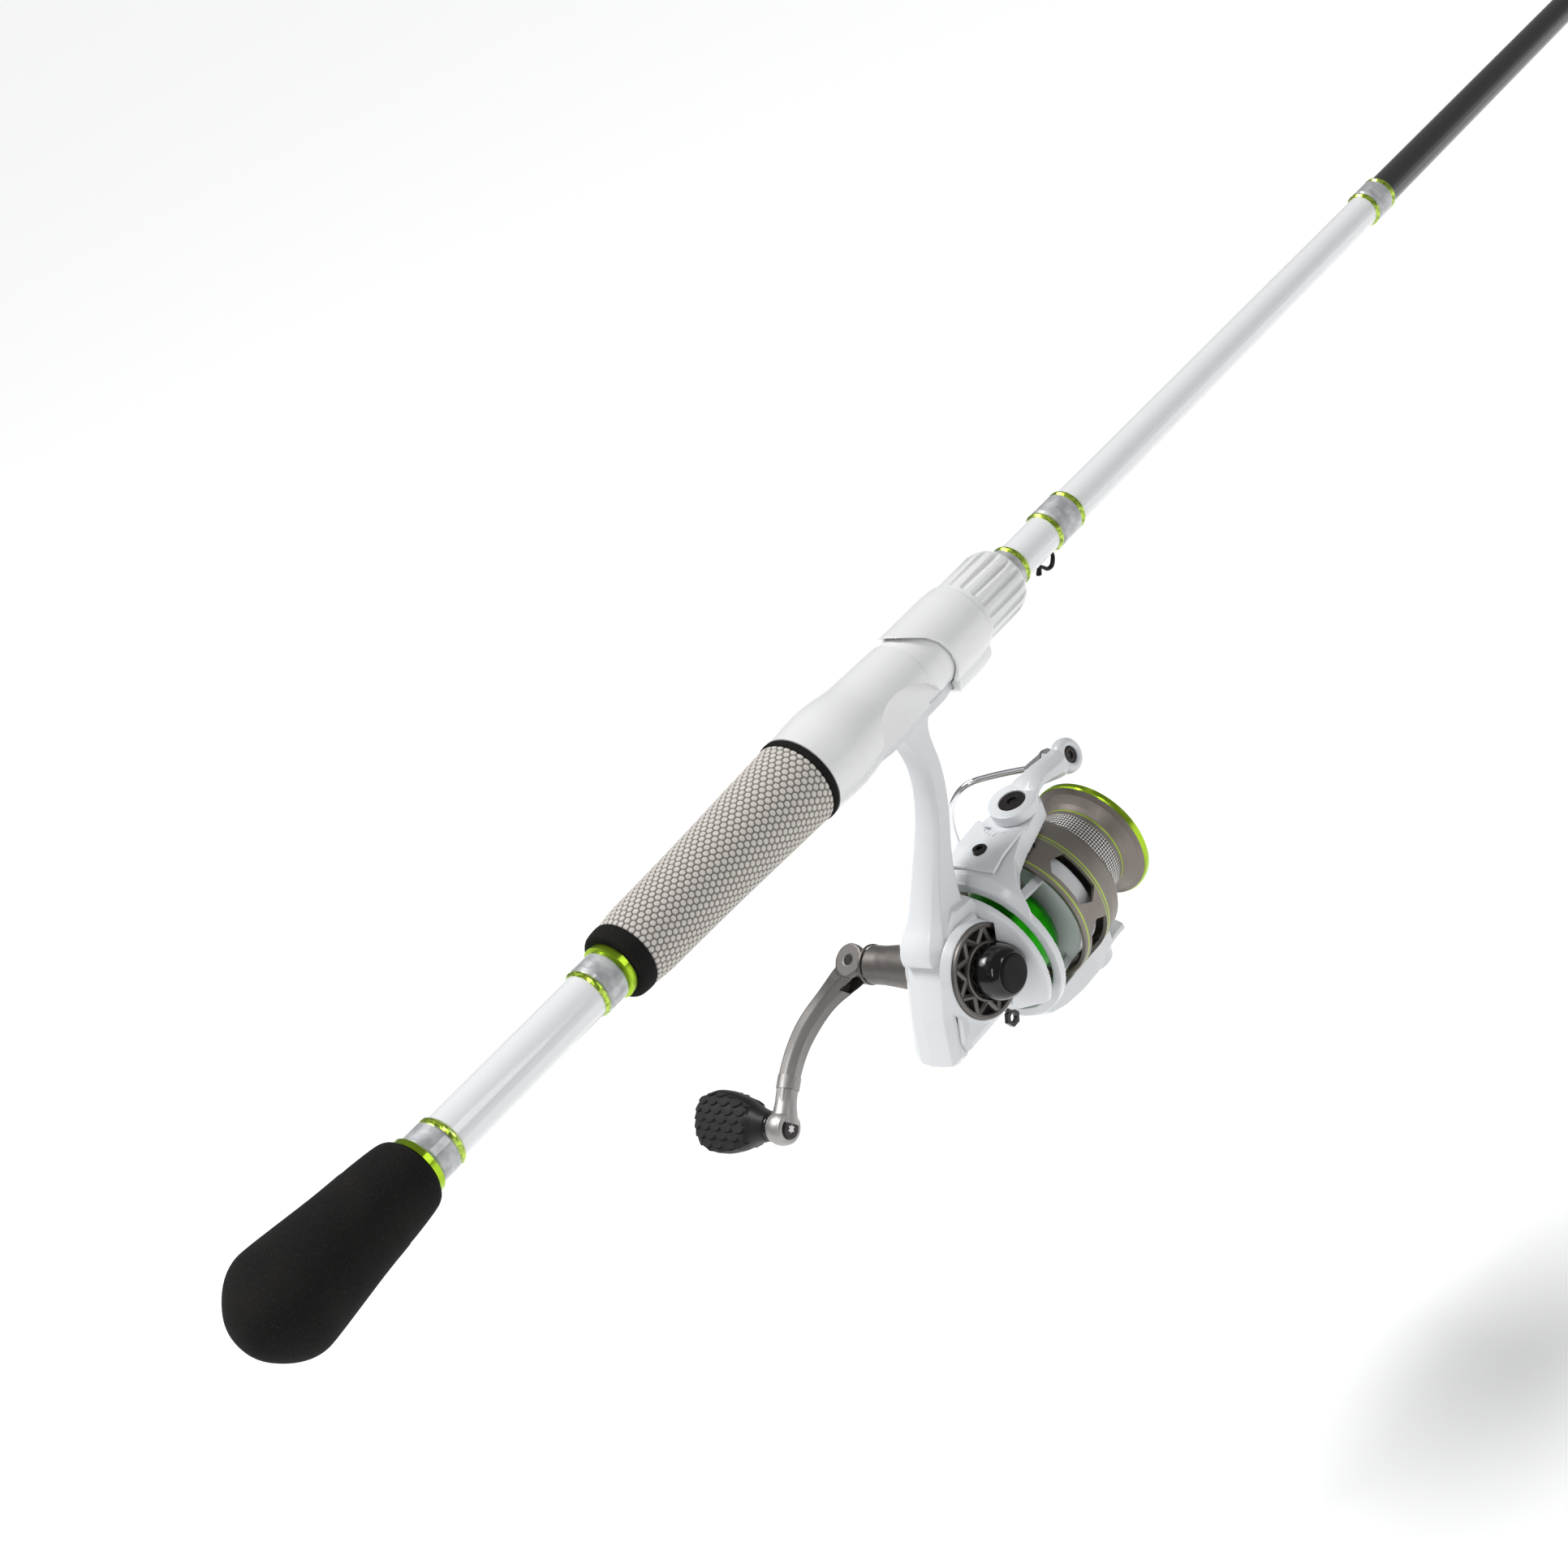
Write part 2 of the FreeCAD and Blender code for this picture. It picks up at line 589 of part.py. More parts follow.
# ---------------------------------------------------------------- reel body

SPOOL_Z = -float(d.spool_drop)
CRANK_Z = -float(d.crank_drop)


def stem_shape():
    """The curved stem from the foot down to the gearbox, with chamfered corners."""
    top = float(foot_bottom)
    shift = SPOOL_Z + 93.0
    stations = [(top + 0.4, 26.6, 9.5, 5.6), (top - 2.4, 26.3, 6.0, 5.2), (-19.5, 26.2, 4.6, 4.9),
                (-27.0, 25.9, 4.0, 4.8), (-34.0, 24.0, 4.1, 4.9), (-41.0, 20.6, 4.4, 5.1),
                (-50.0 + shift, 14.4, 5.0, 5.6), (-60.0 + shift, 7.6, 6.6, 6.4),
                (-68.0 + shift, 2.6, 9.0, 7.8), (-77.0 + shift, 0.0, 12.4, 9.0)]
    return loft([chamfered(y, half_y, half_x, z, 0.34) for z, y, half_y, half_x in stations])


def gearbox_outline(inset):
    """(y, z) corners of the gearbox seen from the side, pulled in at its rear and floor."""
    floor = -float(d.body_floor)
    return [(-6.5 + inset, -70.0 - inset * 0.5), (-12.6 + inset, -82.0), (-18.7 + inset, -93.0),
            (-23.4 + inset, floor - 0.8 + inset), (-20.6 + inset, floor - 2.0 + inset),
            (-16.0, floor + inset * 0.7), (11.8, floor + inset * 0.7), (11.8, -66.5 - inset * 0.5),
            (3.0, -65.5 - inset * 0.5)]


def gearbox_shape():
    width = float(d.body_half_width)
    layers = [(-width, 3.0), (-width + 3.2, 0.6), (-2.0, 0.0), (width - 3.6, 0.4), (width - 0.6, 2.6)]
    return loft([[(x, y, z) for y, z in gearbox_outline(inset)] for x, inset in layers], True)


def flange_shape():
    """The round plate behind the rotor, its lower edge cut level with the gearbox floor."""
    front = float(d.flange_front)
    radius = float(d.flange_radius)
    disc = Part.makeCylinder(radius, 2.2, Vector(0, front - 2.2, SPOOL_Z), AXES["y"])
    flare = Part.makeCone(radius * 0.62, radius, 6.0, Vector(0, front - 8.2, SPOOL_Z), AXES["y"])
    floor = -float(d.body_floor) - 1.2
    return disc.fuse(flare).cut(Part.makeBox(80, 60, 40, Vector(-40, -20, floor - 40)))


def foot_shape():
    """A flat foot with narrowed toes, thinner at its two ends."""
    rear, front = float(d.foot_rear), float(d.foot_front)
    half, toe = float(d.foot_width) / 2, float(d.toe_width) / 2
    top, low = -float(d.foot_plane), -float(d.foot_plane) - float(d.foot_thickness)
    plan = [(toe * 0.7, rear), (toe, rear + 2.0), (toe, 6.0), (half, 12.0), (half, 40.0),
            (toe, 45.5), (toe, front - 2.5), (toe * 0.6, front)]
    ring = plan + [(-x, y) for x, y in reversed(plan)]
    corners = [Vector(x, y, low) for x, y in ring]
    slab = Part.Face(Part.makePolygon(corners + [corners[0]])).extrude(Vector(0, 0, top - low))
    return slab


def cavity_shape():
    """The gearbox's inside, open to the right, where the side cover closes it."""
    wall = float(d.body_wall)
    width = float(d.body_half_width)
    floor = -float(d.body_floor) + wall + 0.6
    front = 9.5
    ring = [(-3.0, -74.0), (-9.4, -84.0), (-15.4, -93.5), (-18.0, floor), (front, floor),
            (front, -76.5), (7.0, -72.0), (2.0, -72.0)]
    corners = [Vector(-width + wall, y, z) for y, z in ring]
    return Part.Face(Part.makePolygon(corners + [corners[0]])).extrude(Vector(2 * width, 0, 0))


def cover_outline():
    floor = -float(d.body_floor)
    return [(-4.0, -72.5), (-9.2, -81.0), (-14.2, -91.0), (-18.6, -101.0), (-18.2, floor + 1.8),
            (8.8, floor + 1.8), (8.8, -71.0), (0.0, -70.2)]


def cover_shape():
    """The right side cover, with a round boss that frames the side ring."""
    low = float(d.body_half_width) - 0.6
    high = float(d.cover_outer)
    outer = cover_outline()
    centre_y = -3.0
    centre_z = -88.5

    def shrink(share):
        return [(centre_y + (y - centre_y) * share, centre_z + (z - centre_z) * share)
                for y, z in outer]

    slab = loft([[(low, y, z) for y, z in shrink(1.0)], [(high - 1.1, y, z) for y, z in shrink(0.97)],
                 [(high, y, z) for y, z in shrink(0.82)]], True)
    boss = Part.makeCone(float(d.ring_outer) + 1.6, float(d.ring_outer) + 0.6, high + 0.7 - low,
                         Vector(low, 0, CRANK_Z), AXES["x"])
    boss = boss.common(Part.makeBox(10, 60, 60, Vector(low, -30, CRANK_Z - 30)))
    bearing_wall = Part.makeCylinder(float(d.bearing_radius) + 1.4, 3.2, Vector(low - 2.4, 0, CRANK_Z),
                                     AXES["x"])
    solid = slab.fuse(boss).fuse(bearing_wall)
    seat = Part.makeCylinder(float(d.ring_outer), 4.0, Vector(high - 0.6, 0, CRANK_Z), AXES["x"])
    bearing = Part.makeCylinder(float(d.bearing_radius), 2.6, Vector(low - 2.5, 0, CRANK_Z), AXES["x"])
    hole = Part.makeCylinder(float(d.crank_shaft_radius) + 0.6, 20, Vector(0, 0, CRANK_Z), AXES["x"])
    return solid.cut(seat).cut(bearing).cut(hole)


cover = cover_shape()
box_shape = stem_shape().fuse(gearbox_shape()).fuse(flange_shape()).fuse(foot_shape())
left_boss = Part.makeCone(9.2, 10.6, 2.4, Vector(-float(d.body_half_width) - 2.0, 0, CRANK_Z),
                          AXES["x"])
box_shape = box_shape.fuse(left_boss).cut(cavity_shape())
crank_hole = float(d.crank_shaft_radius) + 0.6
box_shape = box_shape.cut(Part.makeCylinder(crank_hole, 12, Vector(-16, 0, CRANK_Z), AXES["x"]))
box_shape = box_shape.cut(Part.makeCylinder(float(d.bearing_radius), 2.6,
                                            Vector(-float(d.body_half_width) + 1.6 - 2.5, 0, CRANK_Z),
                                            AXES["x"]))
bearing_front = float(d.flange_front) - 1.0
box_shape = box_shape.cut(Part.makeCylinder(7.0, 3.0, Vector(0, bearing_front - 3.0, SPOOL_Z),
                                            AXES["y"]))
box_shape = box_shape.cut(Part.makeCylinder(float(d.pinion_radius) + 0.4, 20,
                                            Vector(0, 0, SPOOL_Z), AXES["y"]))
box_shape = box_shape.cut(cover)
ring_back = float(d.cover_outer) - 0.6
box_shape = box_shape.cut(Part.makeCylinder(float(d.ring_outer), float(d.ring_face) + 1 - ring_back,
                                            Vector(ring_back, 0, CRANK_Z), AXES["x"]))
box_shape = box_shape.cut(Part.makeCylinder(9.8, 40, Vector(ring_back, 0, CRANK_Z), AXES["x"]))
box_shape = box_shape.cut(Part.makeCylinder(8.4, 30, Vector(-42.2, 0, CRANK_Z), AXES["x"]))
lever_slot = Part.makeBox(4.2, 6.6, 8.0, Vector(4.3, 3.6, -float(d.body_floor) - 5.0))
box_shape = box_shape.cut(lever_slot)
cover_screws = [(-2.6, -74.6), (-16.4, -103.0), (7.6, -104.2)]
screw_solids = []
for y, z in cover_screws:
    head = bar((-float(d.body_half_width) - 0.2, y, z), (-float(d.body_half_width) + 1.4, y, z), 1.9)
    head = head.cut(bar((-float(d.body_half_width) - 0.2, y, z),
                        (-float(d.body_half_width) + 0.5, y, z), 0.9))
    screw_solids.append(head)
    box_shape = box_shape.cut(bar((-float(d.body_half_width) - 4.2, y, z),
                                  (-float(d.body_half_width) + 1.4, y, z), 1.9))
main_body = max(box_shape.Solids, key=lambda solid: solid.Volume)
node(feature("ReelBody", main_body), "reel_body")
node(feature("SideCover", max(cover.Solids, key=lambda solid: solid.Volume)), "side_cover")
node(feature("BodyScrews", Part.makeCompound(screw_solids)), "body_screws")


def star_ring_shape():
    """The side ring: a rim, a hub ring and nine raked spoke pairs, open between them."""
    start = float(d.cover_outer) - 0.6
    face = float(d.ring_face)
    rim = Part.makeCylinder(float(d.ring_outer), face - start, Vector(start, 0, CRANK_Z), AXES["x"])
    rim = rim.cut(Part.makeCylinder(float(d.ring_outer) - 1.5, 6, Vector(start + 0.5, 0, CRANK_Z),
                                    AXES["x"]))
    hub = Part.makeCylinder(9.4, face + 0.6 - start, Vector(start, 0, CRANK_Z), AXES["x"])
    solid = rim.fuse(hub)
    spokes = 9
    for index in range(spokes):
        base = 2 * math.pi * index / spokes
        for lean in (-0.33, 0.33):
            inner = (start + 1.3, 8.6 * math.cos(base), CRANK_Z + 8.6 * math.sin(base))
            outer = (start + 1.0, 14.0 * math.cos(base + lean), CRANK_Z + 14.0 * math.sin(base + lean))
            solid = solid.fuse(bar(inner, outer, 0.75))
    hole = Part.makeCylinder(float(d.crank_shaft_radius) + 0.6, 20, Vector(0, 0, CRANK_Z), AXES["x"])
    return solid.cut(hole)


node(feature("SideRing", star_ring_shape()), "side_ring")

# Roller clutch housing: the green drum in front of the flange
drum_bore = 10.0
drum_body = turned("DrumTurn", [(drum_bore, d.flange_front), (d.drum_radius, d.flange_front),
                         (d.drum_radius, d.drum_front - 4.5), (d.drum_radius - 1.0, d.drum_front - 2.2),
                         (d.drum_radius - 3.0, d.drum_front - 0.6),
                         (d.drum_radius - 5.0, d.drum_front), (6.4, d.drum_front),
                         (6.4, d.drum_front - 2.0), (drum_bore, d.drum_front - 2.0)],
                   "y", SPOOL)
node(cut(drum_body, cylinder(d.ring_outer + 1.9, 9.0, 20.0, "x", CRANK)), "clutch_housing")
clutch_inner = d.pinion_radius + 1.6
node(tube(drum_bore, clutch_inner + d.run_gap, 18.0, 30.0, "y", SPOOL), "roller_clutch")
node(tube(7.0, d.pinion_radius + d.run_gap, d.flange_front - 4.0, d.flange_front - 1.0, "y",
          SPOOL), "pinion_bearing")
left_start = -d.body_half_width + 1.6 - 2.5
right_start = d.body_half_width - 0.6 - 2.5
crank_bore = d.crank_shaft_radius + d.run_gap
node(fuse(tube(d.bearing_radius, crank_bore, left_start, left_start + 2.6, "x", CRANK),
          tube(d.bearing_radius, crank_bore, right_start, right_start + 2.6, "x", CRANK)),
     "crank_bearings")
rod_z = -d.spool_drop - 6.0
guide_rod_rear, guide_rod_front = -16.4, 9.5
node(cylinder(0.8, guide_rod_rear, guide_rod_front, "y", (0, rod_z)), "slider_rail")


def lever_shape():
    """The anti-reverse lever: a short arm with a six-sided loop under the body."""
    x, y = 6.4, 6.5
    floor = -float(d.body_floor)
    arm = bar((x, y, floor + 3.5), (x, y + 0.6, floor - 2.6), 1.0)
    drop = floor - 5.0
    hexagon = [Vector(x - 0.8, y + 0.8 + 3.0 * math.cos(math.pi * k / 3),
                      drop + 3.0 * math.sin(math.pi * k / 3)) for k in range(6)]
    loop = Part.Face(Part.makePolygon(hexagon + [hexagon[0]])).extrude(Vector(1.6, 0, 0))
    loop = loop.cut(bar((x - 2, y + 0.8, drop), (x + 2, y + 0.8, drop), 1.5))
    pivot = bar((x - 1.5, y, floor + 3.5), (x + 1.5, y, floor + 3.5), 1.3)
    return arm.fuse(loop).fuse(pivot)


node(feature("ReverseLever", lever_shape()), "reverse_lever")

# ---------------------------------------------------------------- crank, on the crank's axis

shaft_end = d.ring_face + 1.8
node(cylinder(d.crank_shaft_radius, d.shank_start, shaft_end, "x", CRANK), "crank_shaft")
gear_face = -d.pinion_radius - d.tooth_gap


def main_gear_shape():
    """A disc with face teeth on the side towards the pinion, and a clear bore for its shaft."""
    back = float(d.gear_back)
    face = float(gear_face)
    radius = float(d.gear_radius)
    teeth = 31
    solid = Part.makeCylinder(radius, face - 1.0 - back, Vector(back, 0, CRANK_Z), AXES["x"])
    for index in range(teeth):
        angle = 2 * math.pi * index / teeth
        inner = Vector(face - 1.2, (radius - 4.2) * math.cos(angle),
                       CRANK_Z + (radius - 4.2) * math.sin(angle))
        outer = Vector(face - 1.2, (radius - 0.3) * math.cos(angle),
                       CRANK_Z + (radius - 0.3) * math.sin(angle))
        solid = solid.fuse(Part.makeCone(0.65, 0.95, (outer - inner).Length, inner, outer - inner))
    solid = solid.common(Part.makeCylinder(radius, face - back, Vector(back, 0, CRANK_Z), AXES["x"]))
    return solid.cut(Part.makeCylinder(float(d.crank_shaft_radius), 40, Vector(-20, 0, CRANK_Z),
                                       AXES["x"]))


node(feature("MainGear", main_gear_shape()), "main_gear")

SMALL_TEETH, LARGE_TEETH = 14, 22
GEAR_MODULE = 0.6
GEAR_LOW, GEAR_HIGH = 4.6, 6.4
GEAR_BACKLASH = 0.25


def spur_gear(teeth, centre_y, centre_z, phase):
    """A spur gear across X whose teeth are trapeziums with some backlash."""
    pitch = GEAR_MODULE * teeth / 2
    tip, root = pitch + 0.75 * GEAR_MODULE, pitch - 1.15 * GEAR_MODULE
    step = 2 * math.pi / teeth
    corners = []
    for index in range(teeth):
        middle = phase + index * step
        for radius, share in ((root, -0.34), (tip, -0.13), (tip, 0.13), (root, 0.34)):
            angle = middle + share * step
            corners.append(Vector(GEAR_LOW, centre_y + radius * math.cos(angle),
                                  centre_z + radius * math.sin(angle)))
    face = Part.Face(Part.makePolygon(corners + [corners[0]]))
    return face.extrude(Vector(GEAR_HIGH - GEAR_LOW, 0, 0))


def oscillation_centre():
    """The larger gear's centre, down and behind the crank's axis."""
    distance = GEAR_MODULE * (SMALL_TEETH + LARGE_TEETH) / 2 + GEAR_BACKLASH
    angle = math.radians(235.0)
    return distance * math.cos(angle), CRANK_Z + distance * math.sin(angle), angle


large_y, large_z, mesh_angle = oscillation_centre()
small_gear = spur_gear(SMALL_TEETH, 0, CRANK_Z, mesh_angle)
small_gear = small_gear.cut(Part.makeCylinder(float(d.crank_shaft_radius), 40,
                                              Vector(-20, 0, CRANK_Z), AXES["x"]))
node(feature("DriverGear", small_gear), "oscillation_driver")
large_phase = mesh_angle + math.pi + math.pi / LARGE_TEETH
large_gear = spur_gear(LARGE_TEETH, large_y, large_z, large_phase)
stud_radius = 1.5
large_gear = large_gear.cut(bar((0, large_y, large_z), (12, large_y, large_z),
                                stud_radius + float(d.run_gap)))
crank_pin = bar((3.45, large_y, large_z - 4.6), (GEAR_LOW + 0.2, large_y, large_z - 4.6), 1.0)
node(feature("OscillationGear", large_gear.fuse(crank_pin)), "oscillation_gear")
stud = bar((GEAR_LOW - 0.4, large_y, large_z), (float(d.body_half_width) - 0.6, large_y, large_z),
           stud_radius)
node(feature("GearStud", stud), "oscillation_stud")

shank_line = [(0.0, d.shank_start), (7.7, d.shank_start), (7.3, d.shank_start - 5.0),
              (6.8, d.shank_start - 10.0), (d.shank_radius, d.shank_start - 16.0),
              (d.shank_radius, d.shank_end), (0.0, d.shank_end)]
node_shank = turned("ShankTurn", shank_line, "x", CRANK)

# The crank points back and down. ARM is its direction and FOLD is the fold pin's axis.
ARM = Vector(0, -0.79, -0.613).normalize()
FOLD = Vector(0, -0.613, 0.79).normalize()
CRANK_ORIGIN = Vector(0, 0, CRANK_Z)
fold_x = float(d.fold_x)


def on_arm(x, reach, lift=0.0):
    """A point at x, a distance out along the crank and a lift along the fold pin's axis."""
    return CRANK_ORIGIN + Vector(x, 0, 0) + ARM * reach + FOLD * lift


def oriented_box(x_low, x_high, reach_low, reach_high, lift_low, lift_high):
    corner = on_arm(x_low, reach_low, lift_low)
    across = Vector(x_high - x_low, 0, 0)
    corners = [corner, corner + across, corner + across + ARM * (reach_high - reach_low),
               corner + ARM * (reach_high - reach_low)]
    return Part.Face(Part.makePolygon(corners + [corners[0]])).extrude(FOLD * (lift_high - lift_low))


tongue_half = 2.4
tongue = oriented_box(fold_x, float(d.shank_end) + 1.0, -4.2, 4.2, -tongue_half, tongue_half)
eye = Part.makeCylinder(4.2, 2 * tongue_half, on_arm(fold_x, 0, -tongue_half), FOLD)
pin_hole = Part.makeCylinder(1.6, 30, on_arm(fold_x, 0, -15), FOLD)
node(cut(fuse(node_shank, feature("Tongue", tongue.fuse(eye))), feature("PinHole", pin_hole)),
     "handle_shank")
node(feature("FoldPin", Part.makeCylinder(1.55, 9.6, on_arm(fold_x, 0, -4.8), FOLD)), "fold_pin")


def handle_arm_shape():
    """A forked head round the tongue, a bent round arm and an end boss for the knob's shaft."""
    reach = float(d.crank_radius)
    radius = float(d.arm_radius)
    head = Part.makeCylinder(5.6, 10.4, on_arm(fold_x, 0, -5.2), FOLD)
    stations = [(fold_x - 0.4, 2.0, 4.6), (fold_x - 5.6, 6.4, 4.7), (fold_x - 11.0, 12.6, radius),
                (fold_x - 15.6, 19.4, radius), (fold_x - 18.8, 27.0, radius - 0.1),
                (fold_x - 20.2, 35.0, radius - 0.2), (fold_x - 20.1, 43.0, radius - 0.3),
                (fold_x - 18.9, reach - 3.0, radius - 0.4), (fold_x - 18.6, reach, radius - 0.5)]
    centres = [on_arm(x, out) for x, out, _ in stations]
    share = 0.42
    ring = [(1, -share), (1, share), (share, 1), (-share, 1), (-1, share), (-1, -share),
            (-share, -1), (share, -1)]
    slices = []
    for index, (_, _, half) in enumerate(stations):
        ahead = centres[min(index + 1, len(centres) - 1)] - centres[max(index - 1, 0)]
        ahead.normalize()
        inner = ahead.cross(FOLD)
        slices.append([tuple(centres[index] + FOLD * (a * half) + inner * (b * half))
                       for a, b in ring])
    arm = loft(slices)
    boss = Part.makeCylinder(5.2, 6.2, on_arm(-62.6, reach), AXES["x"])
    solid = head.fuse(arm).fuse(boss)
    gap = tongue_half + 0.3
    slot = oriented_box(fold_x - 5.0, -30.0, -9.0, 9.5, -gap, gap)
    relief = Part.makeCylinder(float(d.shank_radius) + 1.2, 40, on_arm(float(d.shank_end) - 0.3, 0),
                               AXES["x"])
    solid = solid.cut(slot).cut(relief)
    solid = solid.cut(Part.makeCylinder(1.6, 30, on_arm(fold_x, 0, -15), FOLD))
    solid = solid.cut(Part.makeCylinder(float(d.knob_shaft_radius), 30, on_arm(-75, reach), AXES["x"]))
    solid = solid.cut(Part.makeCylinder(4.0, 10, on_arm(-56.4, reach), AXES["x"]))
    return max(solid.Solids, key=lambda piece: piece.Volume)


node(feature("HandleArm", handle_arm_shape()), "handle_arm")
knob_y, knob_z = on_arm(0, float(d.crank_radius)).y, on_arm(0, float(d.crank_radius)).z
knob_start, knob_end = float(d.knob_start), float(d.knob_end)
knob_shaft = bar((-56.4, knob_y, knob_z), (knob_end + 4.0, knob_y, knob_z),
                 float(d.knob_shaft_radius))
knob_shaft = knob_shaft.fuse(bar((-56.4, knob_y, knob_z), (-55.6, knob_y, knob_z), 3.2))
node(feature("KnobShaft", knob_shaft), "knob_shaft")


def knob_shape():
    """A flat paddle knob that swells from a round neck, turned edge-on to the crank."""
    broad = Vector(0, 0.60, 0.80)
    thin = Vector(0, -0.80, 0.60)
    stations = [(0.0, 5.2, 5.2), (0.08, 5.6, 5.4), (0.2, 6.8, 5.6), (0.36, 9.2, 6.2),
                (0.55, 10.6, 6.8), (0.74, 10.8, 6.8), (0.89, 9.2, 6.0), (0.97, 6.8, 4.8),
                (1.0, 4.6, 3.2)]
    wires = []
    for share, half_broad, half_thin in stations:
        x = knob_start + share * (knob_end - knob_start)
        centre = Vector(x, knob_y, knob_z)
        corners = []
        count = 16
        for index in range(count):
            angle = 2 * math.pi * index / count
            a, b = math.cos(angle), math.sin(angle)
            corners.append(centre + broad * (half_broad * math.copysign(abs(a) ** 0.8, a))
                           + thin * (half_thin * math.copysign(abs(b) ** 0.8, b)))
        curve = Part.BSplineCurve()
        curve.interpolate(corners, PeriodicFlag=True)
        wires.append(Part.Wire([curve.toShape()]))
    solid = Part.makeLoft(wires, True, False)
    bore = bar((knob_start + 5, knob_y, knob_z), (knob_end + 3.6, knob_y, knob_z),
               float(d.knob_shaft_radius + d.run_gap))
    return solid.cut(bore)


node(feature("Knob", knob_shape()), "knob")
cap_start = d.ring_face + 0.9
node(turned("CapTurn", [(d.crank_shaft_radius, cap_start), (8.7, cap_start),
                        (9.0, cap_start + 0.8), (8.7, cap_start + 3.2), (7.6, cap_start + 5.4),
                        (6.4, cap_start + 6.6), (6.2, cap_start + 9.8), (5.4, cap_start + 10.9),
                        (0.0, cap_start + 10.9), (0.0, shaft_end), (d.crank_shaft_radius, shaft_end)],
            "x", CRANK), "handle_cap")

# ---------------------------------------------------------------- pinion and rotor


def pinion_shape():
    """A tube with five helical-looking teeth at its rear end."""
    rear, front = float(d.pinion_rear), float(d.nut_front)
    radius = float(d.pinion_radius)
    solid = Part.makeCylinder(radius - 0.9, 4.2, Vector(0, rear, SPOOL_Z), AXES["y"])
    for index in range(5):
        angle = 2 * math.pi * index / 5
        solid = solid.fuse(bar(((radius - 0.75) * math.cos(angle), rear,
                                SPOOL_Z + (radius - 0.75) * math.sin(angle)),
                               ((radius - 0.75) * math.cos(angle + 0.5), rear + 4.2,
                                SPOOL_Z + (radius - 0.75) * math.sin(angle + 0.5)), 0.7))
    solid = solid.common(Part.makeCylinder(radius, 4.2, Vector(0, rear, SPOOL_Z), AXES["y"]))
    solid = solid.fuse(Part.makeCylinder(radius, front - rear - 4.2,
                                         Vector(0, rear + 4.2, SPOOL_Z), AXES["y"]))
    bore = Part.makeCylinder(float(d.shaft_radius + d.run_gap), 60, Vector(0, rear - 1, SPOOL_Z),
                             AXES["y"])
    return solid.cut(bore)


node(feature("Pinion", pinion_shape()), "pinion")
node(tube(clutch_inner, d.pinion_radius, 18.0, 30.0, "y", SPOOL), "clutch_sleeve")

# The two arms stand on one line through the spool's axis. LIFT is that line, leaned back.
arm_turn = math.radians(83.0)
lean = math.radians(8.0)
LIFT = Vector(math.cos(arm_turn) * math.cos(lean), -math.sin(lean), math.sin(arm_turn) * math.cos(lean))
ACROSS = Vector(math.sin(arm_turn), 0, -math.cos(arm_turn))
BAIL_CENTRE = Vector(0, float(d.bail_cross), SPOOL_Z)
RADIAL = Vector(math.cos(arm_turn), 0, math.sin(arm_turn))
SPOOL_ORIGIN = Vector(0, 0, SPOOL_Z)


def on_rotor(y, radius, across=0.0, side=1):
    """A point at y, a radius out along an arm and a step across it."""
    return SPOOL_ORIGIN + Vector(0, y, 0) + RADIAL * (radius * side) + ACROSS * (across * side)


def prism(points, direction):
    return Part.Face(Part.makePolygon(points + [points[0]])).extrude(direction)


def rotor_arm(side):
    """One arm: a curved shell round the spool's axis, cut to a plan that flares at its root."""
    pivot_y = float(d.bail_cross) - side * math.tan(lean) * float(d.bail_height)
    end = pivot_y + 7.4
    rear = float(d.rotor_rear)
    outer = float(d.rotor_radius)
    profile = [(outer - 3.0, rear), (outer - 0.4, rear), (outer + 2.2, rear + 3.0),
               (outer + 4.8, rear + 11.0), (outer + 7.0, 40.0), (outer + 7.8, pivot_y - 7.0),
               (outer + 7.8, end + 1.0), (outer + 1.2, end + 1.0), (outer - 0.6, 40.0),
               (outer - 0.7, 24.0), (outer - 3.0, rear + 3.2)]
    corners = [Vector(radius, y, 0) for radius, y in profile]
    shell = Part.Face(Part.makePolygon(corners + [corners[0]])).revolve(Vector(), AXES["y"], 360)
    shell.translate(SPOOL_ORIGIN)
    outward = [(rear - 1, 21.5), (rear + 2.4, 20.6), (rear + 4.4, 17.6), (rear + 7.4, 14.6),
               (rear + 12.6, 11.6), (rear + 20.6, 9.4), (pivot_y - 2.0, 8.0),
               (end - 2.0, 6.6), (end + 0.6, 3.6)]
    inward = [(rear - 1, 13.2), (rear + 4, 13.4), (rear + 13.0, 12.4), (pivot_y - 8.0, 9.6),
              (pivot_y - 2.0, 8.0), (end - 2.0, 6.6), (end + 0.6, 3.6)]
    ring = outward + [(y, -w) for y, w in reversed(inward)]
    column = prism([on_rotor(y, 13.0, w, side) for y, w in ring], RADIAL * (26.0 * side))
    return shell.common(column)


